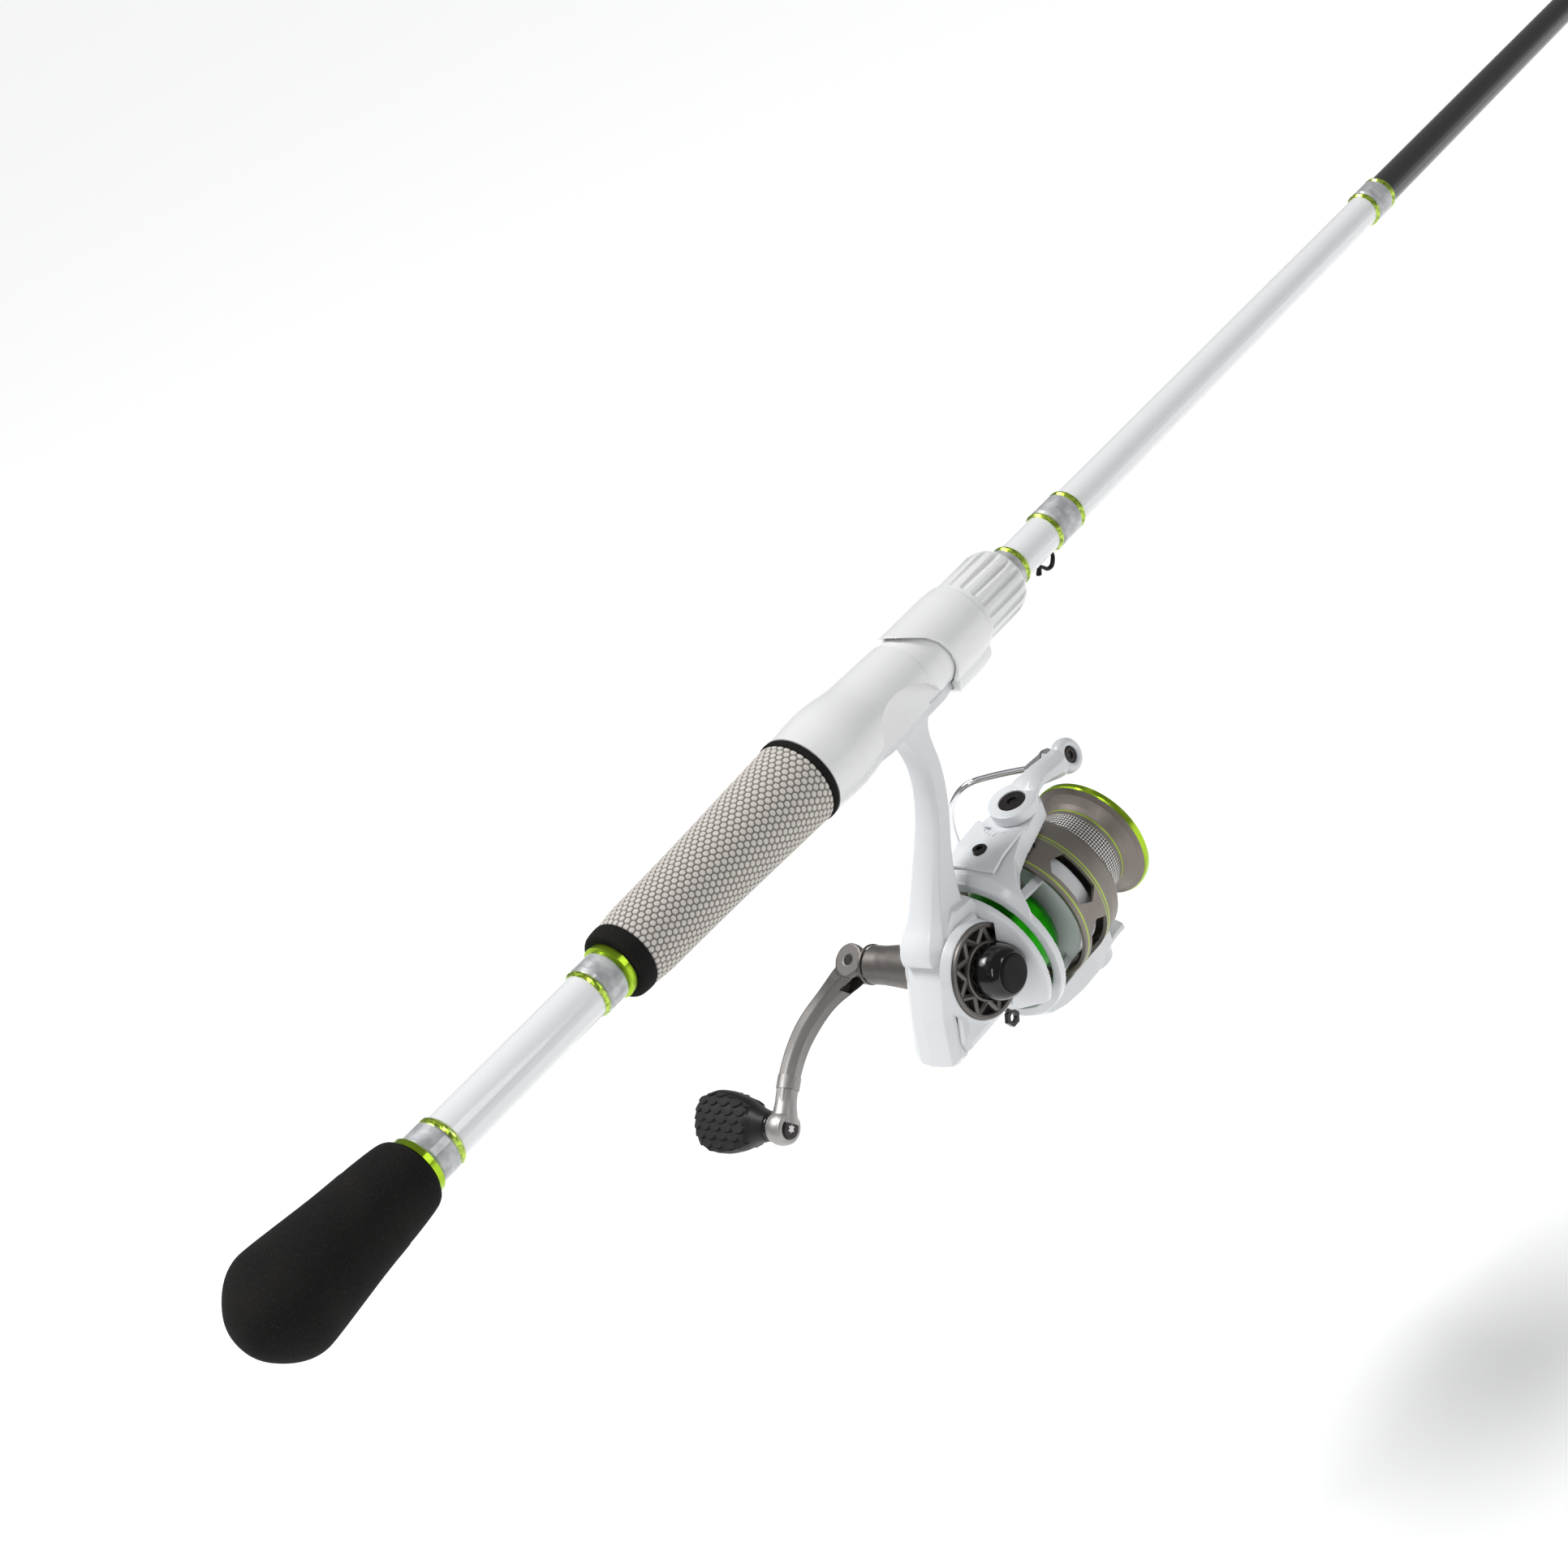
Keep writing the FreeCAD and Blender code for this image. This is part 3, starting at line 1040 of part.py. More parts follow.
def rotor_shape():
    """A skeleton: rear ring, front hub, ribs between them and the two arms."""
    rear = float(d.rotor_rear)
    ring_front = rear + float(d.rotor_ring_length)
    outer, bore = float(d.rotor_radius), float(d.rotor_bore)
    solid = Part.makeCylinder(outer, ring_front - rear, Vector(0, rear, SPOOL_Z), AXES["y"])
    solid = solid.cut(Part.makeCylinder(bore, 20, Vector(0, rear - 1, SPOOL_Z), AXES["y"]))
    hub_front = float(d.hub_front)
    hub = Part.makeCylinder(20.6, 4.0, Vector(0, hub_front - 4.0, SPOOL_Z), AXES["y"])
    sleeve_ring = Part.makeCylinder(21.2, 9.6, Vector(0, hub_front - 4.0, SPOOL_Z), AXES["y"])
    sleeve_ring = sleeve_ring.cut(Part.makeCylinder(19.6, 9.6, Vector(0, hub_front, SPOOL_Z),
                                                    AXES["y"]))
    hub = hub.fuse(sleeve_ring)
    for turn in (-37.0, 37.0, 143.0, 217.0):
        angle = arm_turn + math.radians(turn)
        out = Vector(math.cos(angle), 0, math.sin(angle))
        side_way = Vector(-math.sin(angle), 0, math.cos(angle))
        centre = SPOOL_ORIGIN - side_way * 1.6
        corners = [centre + Vector(0, rear + 0.4, 0) + out * (bore - 0.6),
                   centre + Vector(0, rear + 0.4, 0) + out * (bore + 1.4),
                   centre + Vector(0, ring_front, 0) + out * (bore + 0.6),
                   centre + Vector(0, hub_front - 1.0, 0) + out * 20.6,
                   centre + Vector(0, hub_front - 3.9, 0) + out * 18.4]
        solid = solid.fuse(prism(corners, side_way * 3.2))
    solid = solid.fuse(hub)
    for side in (1, -1):
        solid = solid.fuse(rotor_arm(side))
    inner = Part.makeCylinder(float(d.drum_radius) + 0.9, 40, Vector(0, rear - 1, SPOOL_Z), AXES["y"])
    inner = inner.cut(Part.makeCylinder(30, 40, Vector(0, hub_front - 4.0, SPOOL_Z), AXES["y"]))
    solid = solid.cut(inner)
    solid = solid.cut(Part.makeCylinder(float(d.pinion_radius), 60, Vector(0, 0, SPOOL_Z), AXES["y"]))
    # Room for the spool's skirt, which the arms reach past.
    skirt = Part.makeCylinder(float(d.skirt_radius) + 0.8, 60, Vector(0, ring_front + 2.4, SPOOL_Z),
                              AXES["y"])
    skirt = skirt.cut(Part.makeCylinder(float(d.skirt_radius - d.skirt_wall) - 0.6, 60,
                                        Vector(0, ring_front, SPOOL_Z), AXES["y"]))
    solid = solid.cut(skirt)
    for side in (1, -1):
        solid = solid.cut(Part.makeCylinder(2.6, 60, BAIL_CENTRE + LIFT * (10 * side), LIFT * side))
        bail_floor = BAIL_CENTRE + LIFT * ((float(d.bail_height) - 0.25) * side)
        solid = solid.cut(Part.makeCylinder(12.0, 12, bail_floor, LIFT * side))
    return max(solid.Solids, key=lambda piece: piece.Volume)


node(feature("Rotor", rotor_shape()), "rotor")
node(tube(6.0, d.pinion_radius, d.hub_front, d.nut_front - 0.4, "y", SPOOL), "rotor_nut")


def pivot_screw(side):
    """A shouldered screw that stands in the arm and carries the bail's end."""
    height = float(d.bail_height)
    start = BAIL_CENTRE + LIFT * (side * (height - 5.6))
    shank = Part.makeCylinder(2.6, 7.8, start, LIFT * side)
    head = Part.makeCylinder(4.2, 1.5, BAIL_CENTRE + LIFT * (side * (height + 2.1)), LIFT * side)
    slot_centre = BAIL_CENTRE + LIFT * (side * (height + 2.9))
    slot = Part.makeCylinder(1.7, 2.0, slot_centre, LIFT * side)
    return shank.fuse(head).cut(slot)




def arm_cover():
    """A thin cover screwed on the back of the bail's arm, with its screw's head."""
    rear = float(d.rotor_rear)
    outline = [(rear + 4.0, 28.8), (rear + 11.0, 30.72), (40.0, 31.9), (40.0, 32.8),
               (rear + 11.0, 31.9), (rear + 4.0, 29.9)]
    slab = prism([on_rotor(y, r, -9.5) for y, r in outline], ACROSS * 19)
    solid = slab.cut(rotor_arm(1))
    return max(solid.Solids, key=lambda piece: piece.BoundBox.ZMax)


cover_top = arm_cover()
screw_place = on_rotor(28.0, 29.0)
cover_screw = Part.makeCylinder(2.3, 3.4, screw_place, RADIAL)
cover_screw = cover_screw.cut(Part.makeCylinder(1.1, 2.0, on_rotor(28.0, 31.6), RADIAL))
rotor_item = NODES["rotor"]
node(cut(feature("ArmCover", cover_top), feature("CoverScrewHole",
                                                 Part.makeCylinder(2.3, 8.0, screw_place, RADIAL))),
     "arm_cover")
node(feature("RotorScrews", Part.makeCompound([pivot_screw(1), pivot_screw(-1),
                                               cover_screw.cut(rotor_item.Shape)])),
     "rotor_screws")

# ---------------------------------------------------------------- bail

# AXLE is the line roller's axis, from the bail's end towards the wire.
AXLE = Vector(-0.968, -0.08, -0.229).normalize()
ROLLER_END = Vector(8.6, 76.0, -59.2 + SPOOL_Z + 93.0)


def bail_ring(side):
    """The end that turns on a pivot screw."""
    height = float(d.bail_height)
    radius = 8.2 if side > 0 else 7.0
    solid = Part.makeCylinder(radius, 3.9, BAIL_CENTRE + LIFT * (side * height), LIFT * side)
    solid = solid.cut(Part.makeCylinder(2.65, 20, BAIL_CENTRE + LIFT * (side * 20), LIFT * side))
    return solid.cut(Part.makeCylinder(4.6, 20, BAIL_CENTRE + LIFT * (side * (height + 2.0)),
                                       LIFT * side))


def section(centre, half_x, half_r, y):
    """An eight-cornered slice of the bail's arm at one y."""
    share = 0.4
    ring = [(1, -share), (1, share), (share, 1), (-share, 1), (-1, share), (-1, -share),
            (-share, -1), (share, -1)]
    return [(centre[0] + a * half_x, y, centre[1] + b * half_r) for a, b in ring]


def bail_arm_shape():
    height = float(d.bail_height)
    pivot = BAIL_CENTRE + LIFT * (height + 2.0)
    shift = SPOOL_Z + 93.0
    blade = loft([section((pivot.x + 0.4, pivot.z + 0.7), 6.6, 1.8, pivot.y + 4.8),
                  section((pivot.x + 1.2, -57.2 + shift), 5.4, 2.8, pivot.y + 11.0),
                  section((pivot.x + 2.0, -58.2 + shift), 4.6, 3.8, pivot.y + 17.0),
                  section((pivot.x + 2.8, -59.0 + shift), 3.4, 4.6, pivot.y + 23.0)])
    end = Part.makeSphere(5.7, ROLLER_END + AXLE * 3.0)
    end = end.common(Part.makeCylinder(6.0, 3.5, ROLLER_END, AXLE))
    solid = bail_ring(1).fuse(blade).fuse(end)
    hole = Part.makeCylinder(1.3, 10, ROLLER_END - AXLE * 1.0, AXLE)
    head = Part.makeCylinder(2.9, 2.0, ROLLER_END - AXLE * 0.8, AXLE)
    keep = Part.makeCylinder(4.6, 6.0, BAIL_CENTRE + LIFT * (height + 2.0), LIFT)
    roller_room = Part.makeCylinder(4.7, 6.2, ROLLER_END + AXLE * 3.4, AXLE)
    return solid.cut(hole).cut(head).cut(keep).cut(roller_room)


node(feature("BailArm", bail_arm_shape()), "bail_arm")
shaft_head = Part.makeCylinder(2.8, 1.0, ROLLER_END + AXLE * 0.2, AXLE)
shaft_head = shaft_head.cut(Part.makeCylinder(1.2, 0.6, ROLLER_END, AXLE))
roller_shaft = Part.makeCylinder(1.3, 11.6, ROLLER_END + AXLE * 0.6, AXLE).fuse(shaft_head)
node(feature("RollerScrew", roller_shaft), "roller_screw")
roller_start = ROLLER_END + AXLE * 3.7
roller = Part.makeCone(4.3, 3.1, 2.0, roller_start, AXLE)
roller = roller.fuse(Part.makeCylinder(3.1, 1.4, roller_start + AXLE * 2.0, AXLE))
roller = roller.fuse(Part.makeCone(3.1, 4.3, 2.0, roller_start + AXLE * 3.4, AXLE))
roller = roller.cut(Part.makeCylinder(1.35, 20, ROLLER_END, AXLE))
node(feature("LineRoller", roller), "line_roller")
cone_start = ROLLER_END + AXLE * 9.4
CONE_LENGTH = 10.0
bail_cone = Part.makeCylinder(4.4, 1.0, cone_start, AXLE)
bail_cone = bail_cone.fuse(Part.makeCone(4.4, 1.3, CONE_LENGTH, cone_start + AXLE * 1.0, AXLE))
bail_cone = bail_cone.cut(Part.makeCylinder(1.3, 3.0, cone_start - AXLE * 0.2, AXLE))
cone_tip = cone_start + AXLE * (CONE_LENGTH + 1.0)
lower_pivot = BAIL_CENTRE - LIFT * float(d.bail_height + 2.0)
lever_tip = lower_pivot + Vector(-2.4, 15.4, -1.6)
low = SPOOL_Z + 93.0
bail_route = [tuple(cone_tip), (-19.0, 69.0, -62.2 + low), (-27.0, 61.4, -60.4 + low),
              (-35.0, 58.6, -67.6 + low), (-40.2, 59.6, -79.6 + low), (-42.4, 61.6, -93.0 + low),
              (-40.6, 64.0, -107.4 + low), (-34.4, 67.4, -119.4 + low), (-22.6, 71.6, -127.4 + low),
              tuple(lever_tip + Vector(-5.0, -0.6, 0.4))]
bail_bar = wire_solid(bail_route, 1.15)
node(feature("BailWire", bail_bar), "bail_wire")
node(feature("BailCone", bail_cone.cut(bail_bar)), "bail_cone")


def bail_lever_shape():
    """The bail's far end: a ring on its pivot and a wedge that takes the wire."""
    pivot = lower_pivot
    blade = loft([section((pivot.x, pivot.z + 0.2), 5.0, 1.6, pivot.y + 4.4),
                  section((pivot.x - 1.2, pivot.z - 0.4), 4.4, 2.0, pivot.y + 10.0),
                  section((pivot.x - 2.2, pivot.z - 1.4), 3.8, 2.4, pivot.y + 17.6)])
    solid = bail_ring(-1).fuse(blade)
    keep = Part.makeCylinder(4.6, 6.0, pivot, LIFT * -1)
    return solid.cut(keep).cut(NODES["bail_wire"].Shape)


node(feature("BailLever", bail_lever_shape()), "bail_lever")

# ---------------------------------------------------------------- spool and its shaft

node(cylinder(d.shaft_radius, -8.5, d.drag_front - 2.0, "y", SPOOL), "main_shaft")
slider_low = SPOOL_Z - 8.0
slider = Part.makeBox(6.0, 2.2, 6.8, Vector(-3.0, -6.6, slider_low))
slider = slider.cut(bar((0, -9, SPOOL_Z), (0, 0, SPOOL_Z), float(d.shaft_radius)))
slider = slider.cut(bar((0, -9, float(rod_z)), (0, 0, float(rod_z)), 0.8 + float(d.run_gap)))
node(feature("ShaftSlider", slider), "shaft_slider")

hub_bore = d.shaft_radius + d.run_gap
spool_profile = [
    (hub_bore, d.web_rear), (d.skirt_radius - d.skirt_wall - 1.0, d.web_rear),
    (d.skirt_radius - d.skirt_wall, d.web_rear - 1.0), (d.skirt_radius - d.skirt_wall, d.skirt_rear),
    (d.skirt_radius - 0.3, d.skirt_rear), (d.skirt_radius, d.skirt_rear + 0.6),
    (d.skirt_radius, d.skirt_rear + 12.0), (d.skirt_radius - 0.5, d.skirt_rear + 17.0),
    (d.skirt_radius - 1.4, d.skirt_front - 2.6), (d.skirt_radius - 2.8, d.skirt_front - 0.6),
    (d.skirt_radius - 4.4, d.skirt_front), (d.arbor_radius + 1.0, d.skirt_front + 0.6),
    (d.arbor_radius, d.skirt_front + 1.8), (d.arbor_radius, d.arbor_front),
    (d.arbor_radius - 2.4, d.arbor_front), (d.arbor_radius - 2.4, d.arbor_front - 4.0),
    (hub_bore, d.arbor_front - 4.0)]
spool_body = turned("SpoolTurn", spool_profile, "y", SPOOL)


def window_cutters():
    """Long six-sided windows round the skirt."""
    cutters = []
    count = 6
    middle = float(d.skirt_rear) + 8.0
    for index in range(count):
        angle = 2 * math.pi * (index + 0.42) / count
        out = Vector(math.cos(angle), 0, math.sin(angle))
        side_way = Vector(-math.sin(angle), 0, math.cos(angle))
        outline = [(-9.6, 0.6), (-6.4, 4.6), (7.2, 4.6), (9.6, -0.6), (6.4, -4.4), (-7.2, -4.4)]
        corners = [SPOOL_ORIGIN + Vector(0, middle + y, 0) + side_way * x + out * 18.0
                   for x, y in outline]
        cutters.append(prism(corners, out * 12))
    return cutters


windows = window_cutters()
joined = windows[0].multiFuse(windows[1:])
node(cut(spool_body, feature("Windows", joined)), "spool")
lip_base = d.arbor_front
node(turned("LipTurn", [(d.arbor_radius - 2.4, lip_base), (d.arbor_radius, lip_base),
                        (d.arbor_radius + 1.2, lip_base + 1.2), (d.arbor_radius + 3.6, lip_base + 3.2),
                        (d.lip_radius - 0.4, d.lip_front - d.lime_rim),
                        (d.lip_radius - 2.6, d.lip_front - d.lime_rim),
                        (d.lip_radius - 2.6, d.lip_front - 1.0), (d.arbor_radius - 2.4, d.lip_front - 2.4)],
            "y", SPOOL), "spool_lip")
node(turned("RimTurn", [(d.lip_radius - 2.6, d.lip_front - d.lime_rim),
                        (d.lip_radius - 0.4, d.lip_front - d.lime_rim),
                        (d.lip_radius, d.lip_front - d.lime_rim + 0.5),
                        (d.lip_radius, d.lip_front - 0.8), (d.lip_radius - 0.8, d.lip_front),
                        (d.lip_radius - 2.6, d.lip_front - 0.4)], "y", SPOOL), "lime_rim")
washer_rear = d.arbor_front - 4.0
node(fuse(tube(d.arbor_radius - 2.8, hub_bore + 0.4, washer_rear, washer_rear + 1.0, "y", SPOOL),
          tube(d.arbor_radius - 2.8, hub_bore + 0.4, washer_rear + 1.4, washer_rear + 2.4, "y", SPOOL),
          tube(d.arbor_radius - 2.8, hub_bore + 0.4, washer_rear + 2.8, washer_rear + 3.8, "y", SPOOL)),
     "drag_washers")
knob_rear = d.arbor_front + 0.6
node(turned("DragTurn", [(hub_bore, knob_rear), (d.drag_radius - 1.0, knob_rear),
                         (d.drag_radius, knob_rear + 1.6), (d.drag_radius, d.drag_front - 3.4),
                         (d.drag_radius - 1.4, d.drag_front - 1.4), (5.0, d.drag_front - 0.6),
                         (0.0, d.drag_front), (0.0, d.drag_front - 2.0 + d.run_gap),
                         (hub_bore, d.drag_front - 2.0 + d.run_gap)], "y", SPOOL), "drag_knob")

# ---------------------------------------------------------------- check and export

doc.recompute()
for item in doc.Objects:
    if "Invalid" in item.State or "Error" in item.State:
        raise RuntimeError(f"{item.Name} ({item.Label}) failed: {item.State}")
for label, item in NODES.items():
    shape = item.Shape
    if shape.isNull() or not shape.isValid() or not shape.Solids:
        raise RuntimeError(f"{label} has no valid solid")
    shape.exportStep(f"parts/{label}.step")
print(f"{len(NODES)} nodes written")
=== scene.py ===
import json
import math

import bmesh
import bpy
import numpy as np
from mathutils import Matrix, Vector


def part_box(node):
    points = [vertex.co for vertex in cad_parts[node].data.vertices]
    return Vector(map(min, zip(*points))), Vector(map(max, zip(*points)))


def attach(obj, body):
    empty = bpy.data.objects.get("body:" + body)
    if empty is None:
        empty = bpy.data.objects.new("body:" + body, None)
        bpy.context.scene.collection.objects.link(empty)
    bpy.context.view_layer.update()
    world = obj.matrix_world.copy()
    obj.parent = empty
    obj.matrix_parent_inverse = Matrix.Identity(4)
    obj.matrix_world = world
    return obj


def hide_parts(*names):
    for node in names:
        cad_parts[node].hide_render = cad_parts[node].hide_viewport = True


# Looks of a spinning rod and reel. Millimetres are used in the helpers below and turned
# into metres where a mesh is made. Every mesh keeps its origin at the row's origin, so
# object coordinates in the materials are row coordinates.

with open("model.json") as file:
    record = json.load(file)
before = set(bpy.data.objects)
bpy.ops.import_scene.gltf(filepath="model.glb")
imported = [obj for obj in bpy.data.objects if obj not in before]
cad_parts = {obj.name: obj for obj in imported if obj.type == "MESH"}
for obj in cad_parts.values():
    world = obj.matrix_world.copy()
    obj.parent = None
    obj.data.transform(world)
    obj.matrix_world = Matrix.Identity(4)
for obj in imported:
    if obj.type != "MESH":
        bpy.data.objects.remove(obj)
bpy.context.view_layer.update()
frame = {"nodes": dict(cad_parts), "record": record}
NODES = frame["nodes"]
MM = 0.001
SPOOL_Z = -93.0
CRANK_Z = -87.0
CRANK_AXIS = (0.0, CRANK_Z)
KNOB_AXIS = (-43.453, -120.717)
Y_AXIS = Vector((0, 1, 0))
X_AXIS = Vector((1, 0, 0))

# ---------------------------------------------------------------- materials


class Look:
    """A principled material with shorthand for the node set-ups used here."""

    def __init__(self, name, color, rough, metal=0.0, coat=0.0, coat_rough=0.05):
        self.material = bpy.data.materials.new(name)
        self.material.use_nodes = True
        self.tree = self.material.node_tree
        self.bsdf = self.tree.nodes["Principled BSDF"]
        self.color = (*color, 1.0)
        self.bsdf.inputs["Base Color"].default_value = self.color
        self.bsdf.inputs["Roughness"].default_value = rough
        self.bsdf.inputs["Metallic"].default_value = metal
        self.bsdf.inputs["Coat Weight"].default_value = coat
        self.bsdf.inputs["Coat Roughness"].default_value = coat_rough
        self.place = self.tree.nodes.new("ShaderNodeTexCoord").outputs["Object"]

    def put(self, socket, value):
        """Set a socket, or link it when the value is another node's output."""
        if isinstance(value, bpy.types.NodeSocket):
            self.tree.links.new(value, socket)
        else:
            socket.default_value = value

    def node(self, kind, **values):
        made = self.tree.nodes.new(kind)
        for key, value in values.items():
            if hasattr(made, key):
                setattr(made, key, value)
            else:
                self.put(made.inputs[key], value)
        return made

    def math(self, operation, first, second=0.0, third=None):
        made = self.tree.nodes.new("ShaderNodeMath")
        made.operation = operation
        self.put(made.inputs[0], first)
        self.put(made.inputs[1], second)
        if third is not None:
            self.put(made.inputs[2], third)
        return made.outputs[0]

    def noise(self, scale, detail=4.0):
        made = self.node("ShaderNodeTexNoise", Scale=scale, Detail=detail)
        self.put(made.inputs["Vector"], self.place)
        return made.outputs["Fac"]

    def cells(self, scale, output="Distance"):
        made = self.node("ShaderNodeTexVoronoi", Scale=scale)
        self.put(made.inputs["Vector"], self.place)
        return made.outputs[output]

    def axes(self):
        """The three object coordinates in millimetres."""
        split = self.tree.nodes.new("ShaderNodeSeparateXYZ")
        self.put(split.inputs[0], self.place)
        return [self.math("MULTIPLY", out, 1000.0) for out in split.outputs]

    def span(self, value, low, high, first=0.0, second=1.0):
        made = self.node("ShaderNodeMapRange")
        for index, number in enumerate((value, low, high, first, second)):
            self.put(made.inputs[index], number)
        return made.outputs[0]

    def band(self, value, centre, half, soft=0.08):
        """1 within half of centre, 0 outside, with a soft edge."""
        off = self.math("ABSOLUTE", self.math("SUBTRACT", value, centre))
        return self.span(off, half - soft, half + soft, 1.0, 0.0)

    def mix(self, share, first, second):
        made = self.tree.nodes.new("ShaderNodeMix")
        made.data_type = "RGBA"
        self.put(made.inputs[0], share)
        self.put(made.inputs[6], first)
        self.put(made.inputs[7], second)
        return made.outputs[2]

    def paint(self, share, second):
        """Mix another colour over what the base colour is now."""
        socket = self.bsdf.inputs["Base Color"]
        first = socket.links[0].from_socket if socket.links else tuple(socket.default_value)
        self.put(socket, self.mix(share, first, (*second, 1.0)))
        return self

    def shift(self, name, share, value):
        """Mix a number into roughness or metallic by share."""
        socket = self.bsdf.inputs[name]
        first = socket.links[0].from_socket if socket.links else socket.default_value
        made = self.tree.nodes.new("ShaderNodeMix")
        self.put(made.inputs[0], share)
        self.put(made.inputs[2], first)
        self.put(made.inputs[3], value)
        self.put(socket, made.outputs[0])
        return self

    def bump(self, height, distance, strength=1.0):
        made = self.node("ShaderNodeBump", Strength=strength, Distance=distance * MM)
        self.put(made.inputs["Height"], height)
        socket = self.bsdf.inputs["Normal"]
        if socket.links:
            self.put(made.inputs["Normal"], socket.links[0].from_socket)
        self.put(socket, made.outputs[0])
        return self

    def wear(self, scale=220.0, low=0.0, high=0.12):
        """Faint handling marks: the roughness drifts and fine specks show."""
        base = self.bsdf.inputs["Roughness"].default_value
        drift = self.span(self.noise(scale, 6.0), 0.35, 0.75, base + low, base + high)
        self.put(self.bsdf.inputs["Roughness"], drift)
        return self


TURN = 2 * math.pi
WAVE = 6.283  # radians in one wave of a shader's sine
LATHE_PITCH = 0.16
THREAD_PITCH = 0.22
WHITE_END = 337.5  # the station where the blank turns from white to black


def pearl(name, color, rough, coat):
    """White pearl lacquer: fine flake in the colour, orange peel and a clear coat."""
    look = Look(name, color, rough, coat=coat, coat_rough=0.08)
    flake = look.span(look.cells(2600.0, "Color"), 0.25, 0.9, 0.0, 0.10)
    look.paint(flake, (0.72, 0.75, 0.80))
    look.bump(look.noise(900.0, 2.0), 0.012)
    return look.wear(160.0, -0.03, 0.07)


def machined(name, color, rough, metal=1.0):
    """Metal or hard plastic with a very fine grain and uneven roughness."""
    look = Look(name, color, rough, metal)
    look.bump(look.noise(1500.0, 5.0), 0.010)
    return look.wear(400.0, -0.02, 0.10)


def turned_metal(name, color, rough, axis_z):
    """Metal with fine rings left by a lathe, round an axis along Y."""
    look = Look(name, color, rough, 1.0)
    x, y, z = look.axes()
    drop = look.math("POWER", look.math("SUBTRACT", z, axis_z), 2.0)
    radius = look.math("SQRT", look.math("ADD", look.math("MULTIPLY", x, x), drop))
    rings = look.math("SINE", look.math("MULTIPLY", look.math("ADD", radius, y), WAVE / LATHE_PITCH))
    look.bump(rings, 0.0025)
    return look.wear(300.0, -0.02, 0.08)


def thread_look():
    look = Look("grey_thread", (0.36, 0.37, 0.385), 0.42, coat=1.0, coat_rough=0.03)
    x, y, z = look.axes()
    turns = look.math("SINE", look.math("MULTIPLY", y, WAVE / THREAD_PITCH))
    uneven = look.span(look.noise(700.0, 3.0), 0.3, 0.7, 0.6, 1.0)
    look.bump(look.math("MULTIPLY", turns, uneven), 0.02)
    look.paint(look.span(look.noise(260.0, 4.0), 0.42, 0.66), (0.55, 0.56, 0.57))
    look.bsdf.inputs["Metallic"].default_value = 0.25
    return look


def trim_look():
    look = Look("lime_trim", (0.46, 0.66, 0.05), 0.22, 0.85, coat=1.0)
    look.bump(look.cells(900.0), 0.05)
    look.paint(look.span(look.noise(900.0, 3.0), 0.45, 0.6), (0.20, 0.30, 0.01))
    return look


def blank_look():
    """White lacquer up to the last wrap, matte black beyond it."""
    look = pearl("blank_lacquer", (0.76, 0.765, 0.77), 0.30, 0.7)
    x, y, z = look.axes()
    black = look.math("GREATER_THAN", y, WHITE_END)
    look.paint(black, (0.012, 0.012, 0.013))
    look.shift("Roughness", black, 0.42)
    graphite = look.math("SINE", look.math("MULTIPLY", y, WAVE / 1.2))
    look.bump(look.math("MULTIPLY", graphite, black), 0.01)
    return look


def foam_look():
    look = Look("eva_foam", (0.009, 0.0085, 0.008), 0.95)
    look.bsdf.inputs["Specular IOR Level"].default_value = 0.15
    grain = look.noise(1500.0, 8.0)
    look.bump(grain, 0.10)
    look.paint(look.span(look.noise(2600.0, 2.0), 0.60, 0.72), (0.03, 0.029, 0.027))
    look.paint(look.span(look.noise(60.0, 3.0), 0.45, 0.75, 0.0, 0.35), (0.02, 0.0185, 0.017))
    return look


def hex_look():
    look = Look("hex_polymer", (0.58, 0.545, 0.50), 0.62)
    groove = look.node("ShaderNodeAttribute", attribute_name="groove").outputs["Fac"]
    look.paint(look.span(look.noise(500.0, 3.0), 0.4, 0.7, 0.0, 0.5), (0.66, 0.63, 0.58))
    # Painted shade: the grooves between the hexagons are painted dark.
    look.paint(groove, (0.13, 0.12, 0.11))
    look.bump(look.noise(2500.0, 3.0), 0.01)
    return look


def anodised_spool():
    """Taupe anodising with lime pinstripes and a knurled band on the arbor, whose diamonds carry a
    painted glint and painted shade.
    """
    look = Look("spool_anodised", (0.235, 0.208, 0.186), 0.42, 0.75)
    x, y, z = look.axes()
    drop = look.math("SUBTRACT", z, SPOOL_Z)
    angle = look.math("ARCTAN2", x, drop)
    knurl = look.band(y, 64.0, 4.4)
    along = look.math("MULTIPLY", y, 3.1)
    first = look.math("SINE", look.math("MULTIPLY_ADD", angle, 48.0, along))
    second = look.math("SINE", look.math("MULTIPLY_ADD", angle, -48.0, along))
    diamond = look.math("MULTIPLY", first, second)
    # Painted light on the knurl: the raised diamonds get a painted glint, the sunken ones painted
    # shade.
    knurl_painted_shade = look.math("MULTIPLY", knurl, look.span(diamond, -0.1, 0.15, 1.0, 0.0))
    knurl_painted_glint = look.math("MULTIPLY", knurl, look.span(diamond, -0.1, 0.15))
    look.paint(knurl_painted_glint, (0.80, 0.79, 0.77))
    look.paint(knurl_painted_shade, (0.07, 0.06, 0.055))
    look.bump(look.math("MULTIPLY", knurl, diamond), 0.10)
    stripes = look.band(y, 48.2, 0.32)
    for station, half in ((46.9, 0.16), (35.8, 0.3), (58.6, 0.25), (70.4, 0.35)):
        stripes = look.math("MAXIMUM", stripes, look.band(y, station, half))
    look.paint(stripes, (0.42, 0.56, 0.08))
    look.shift("Roughness", stripes, 0.22)
    rings = look.math("SINE", look.math("MULTIPLY", y, WAVE / 0.14))
    look.bump(rings, 0.0015)
    return look.wear(300.0, -0.03, 0.08)


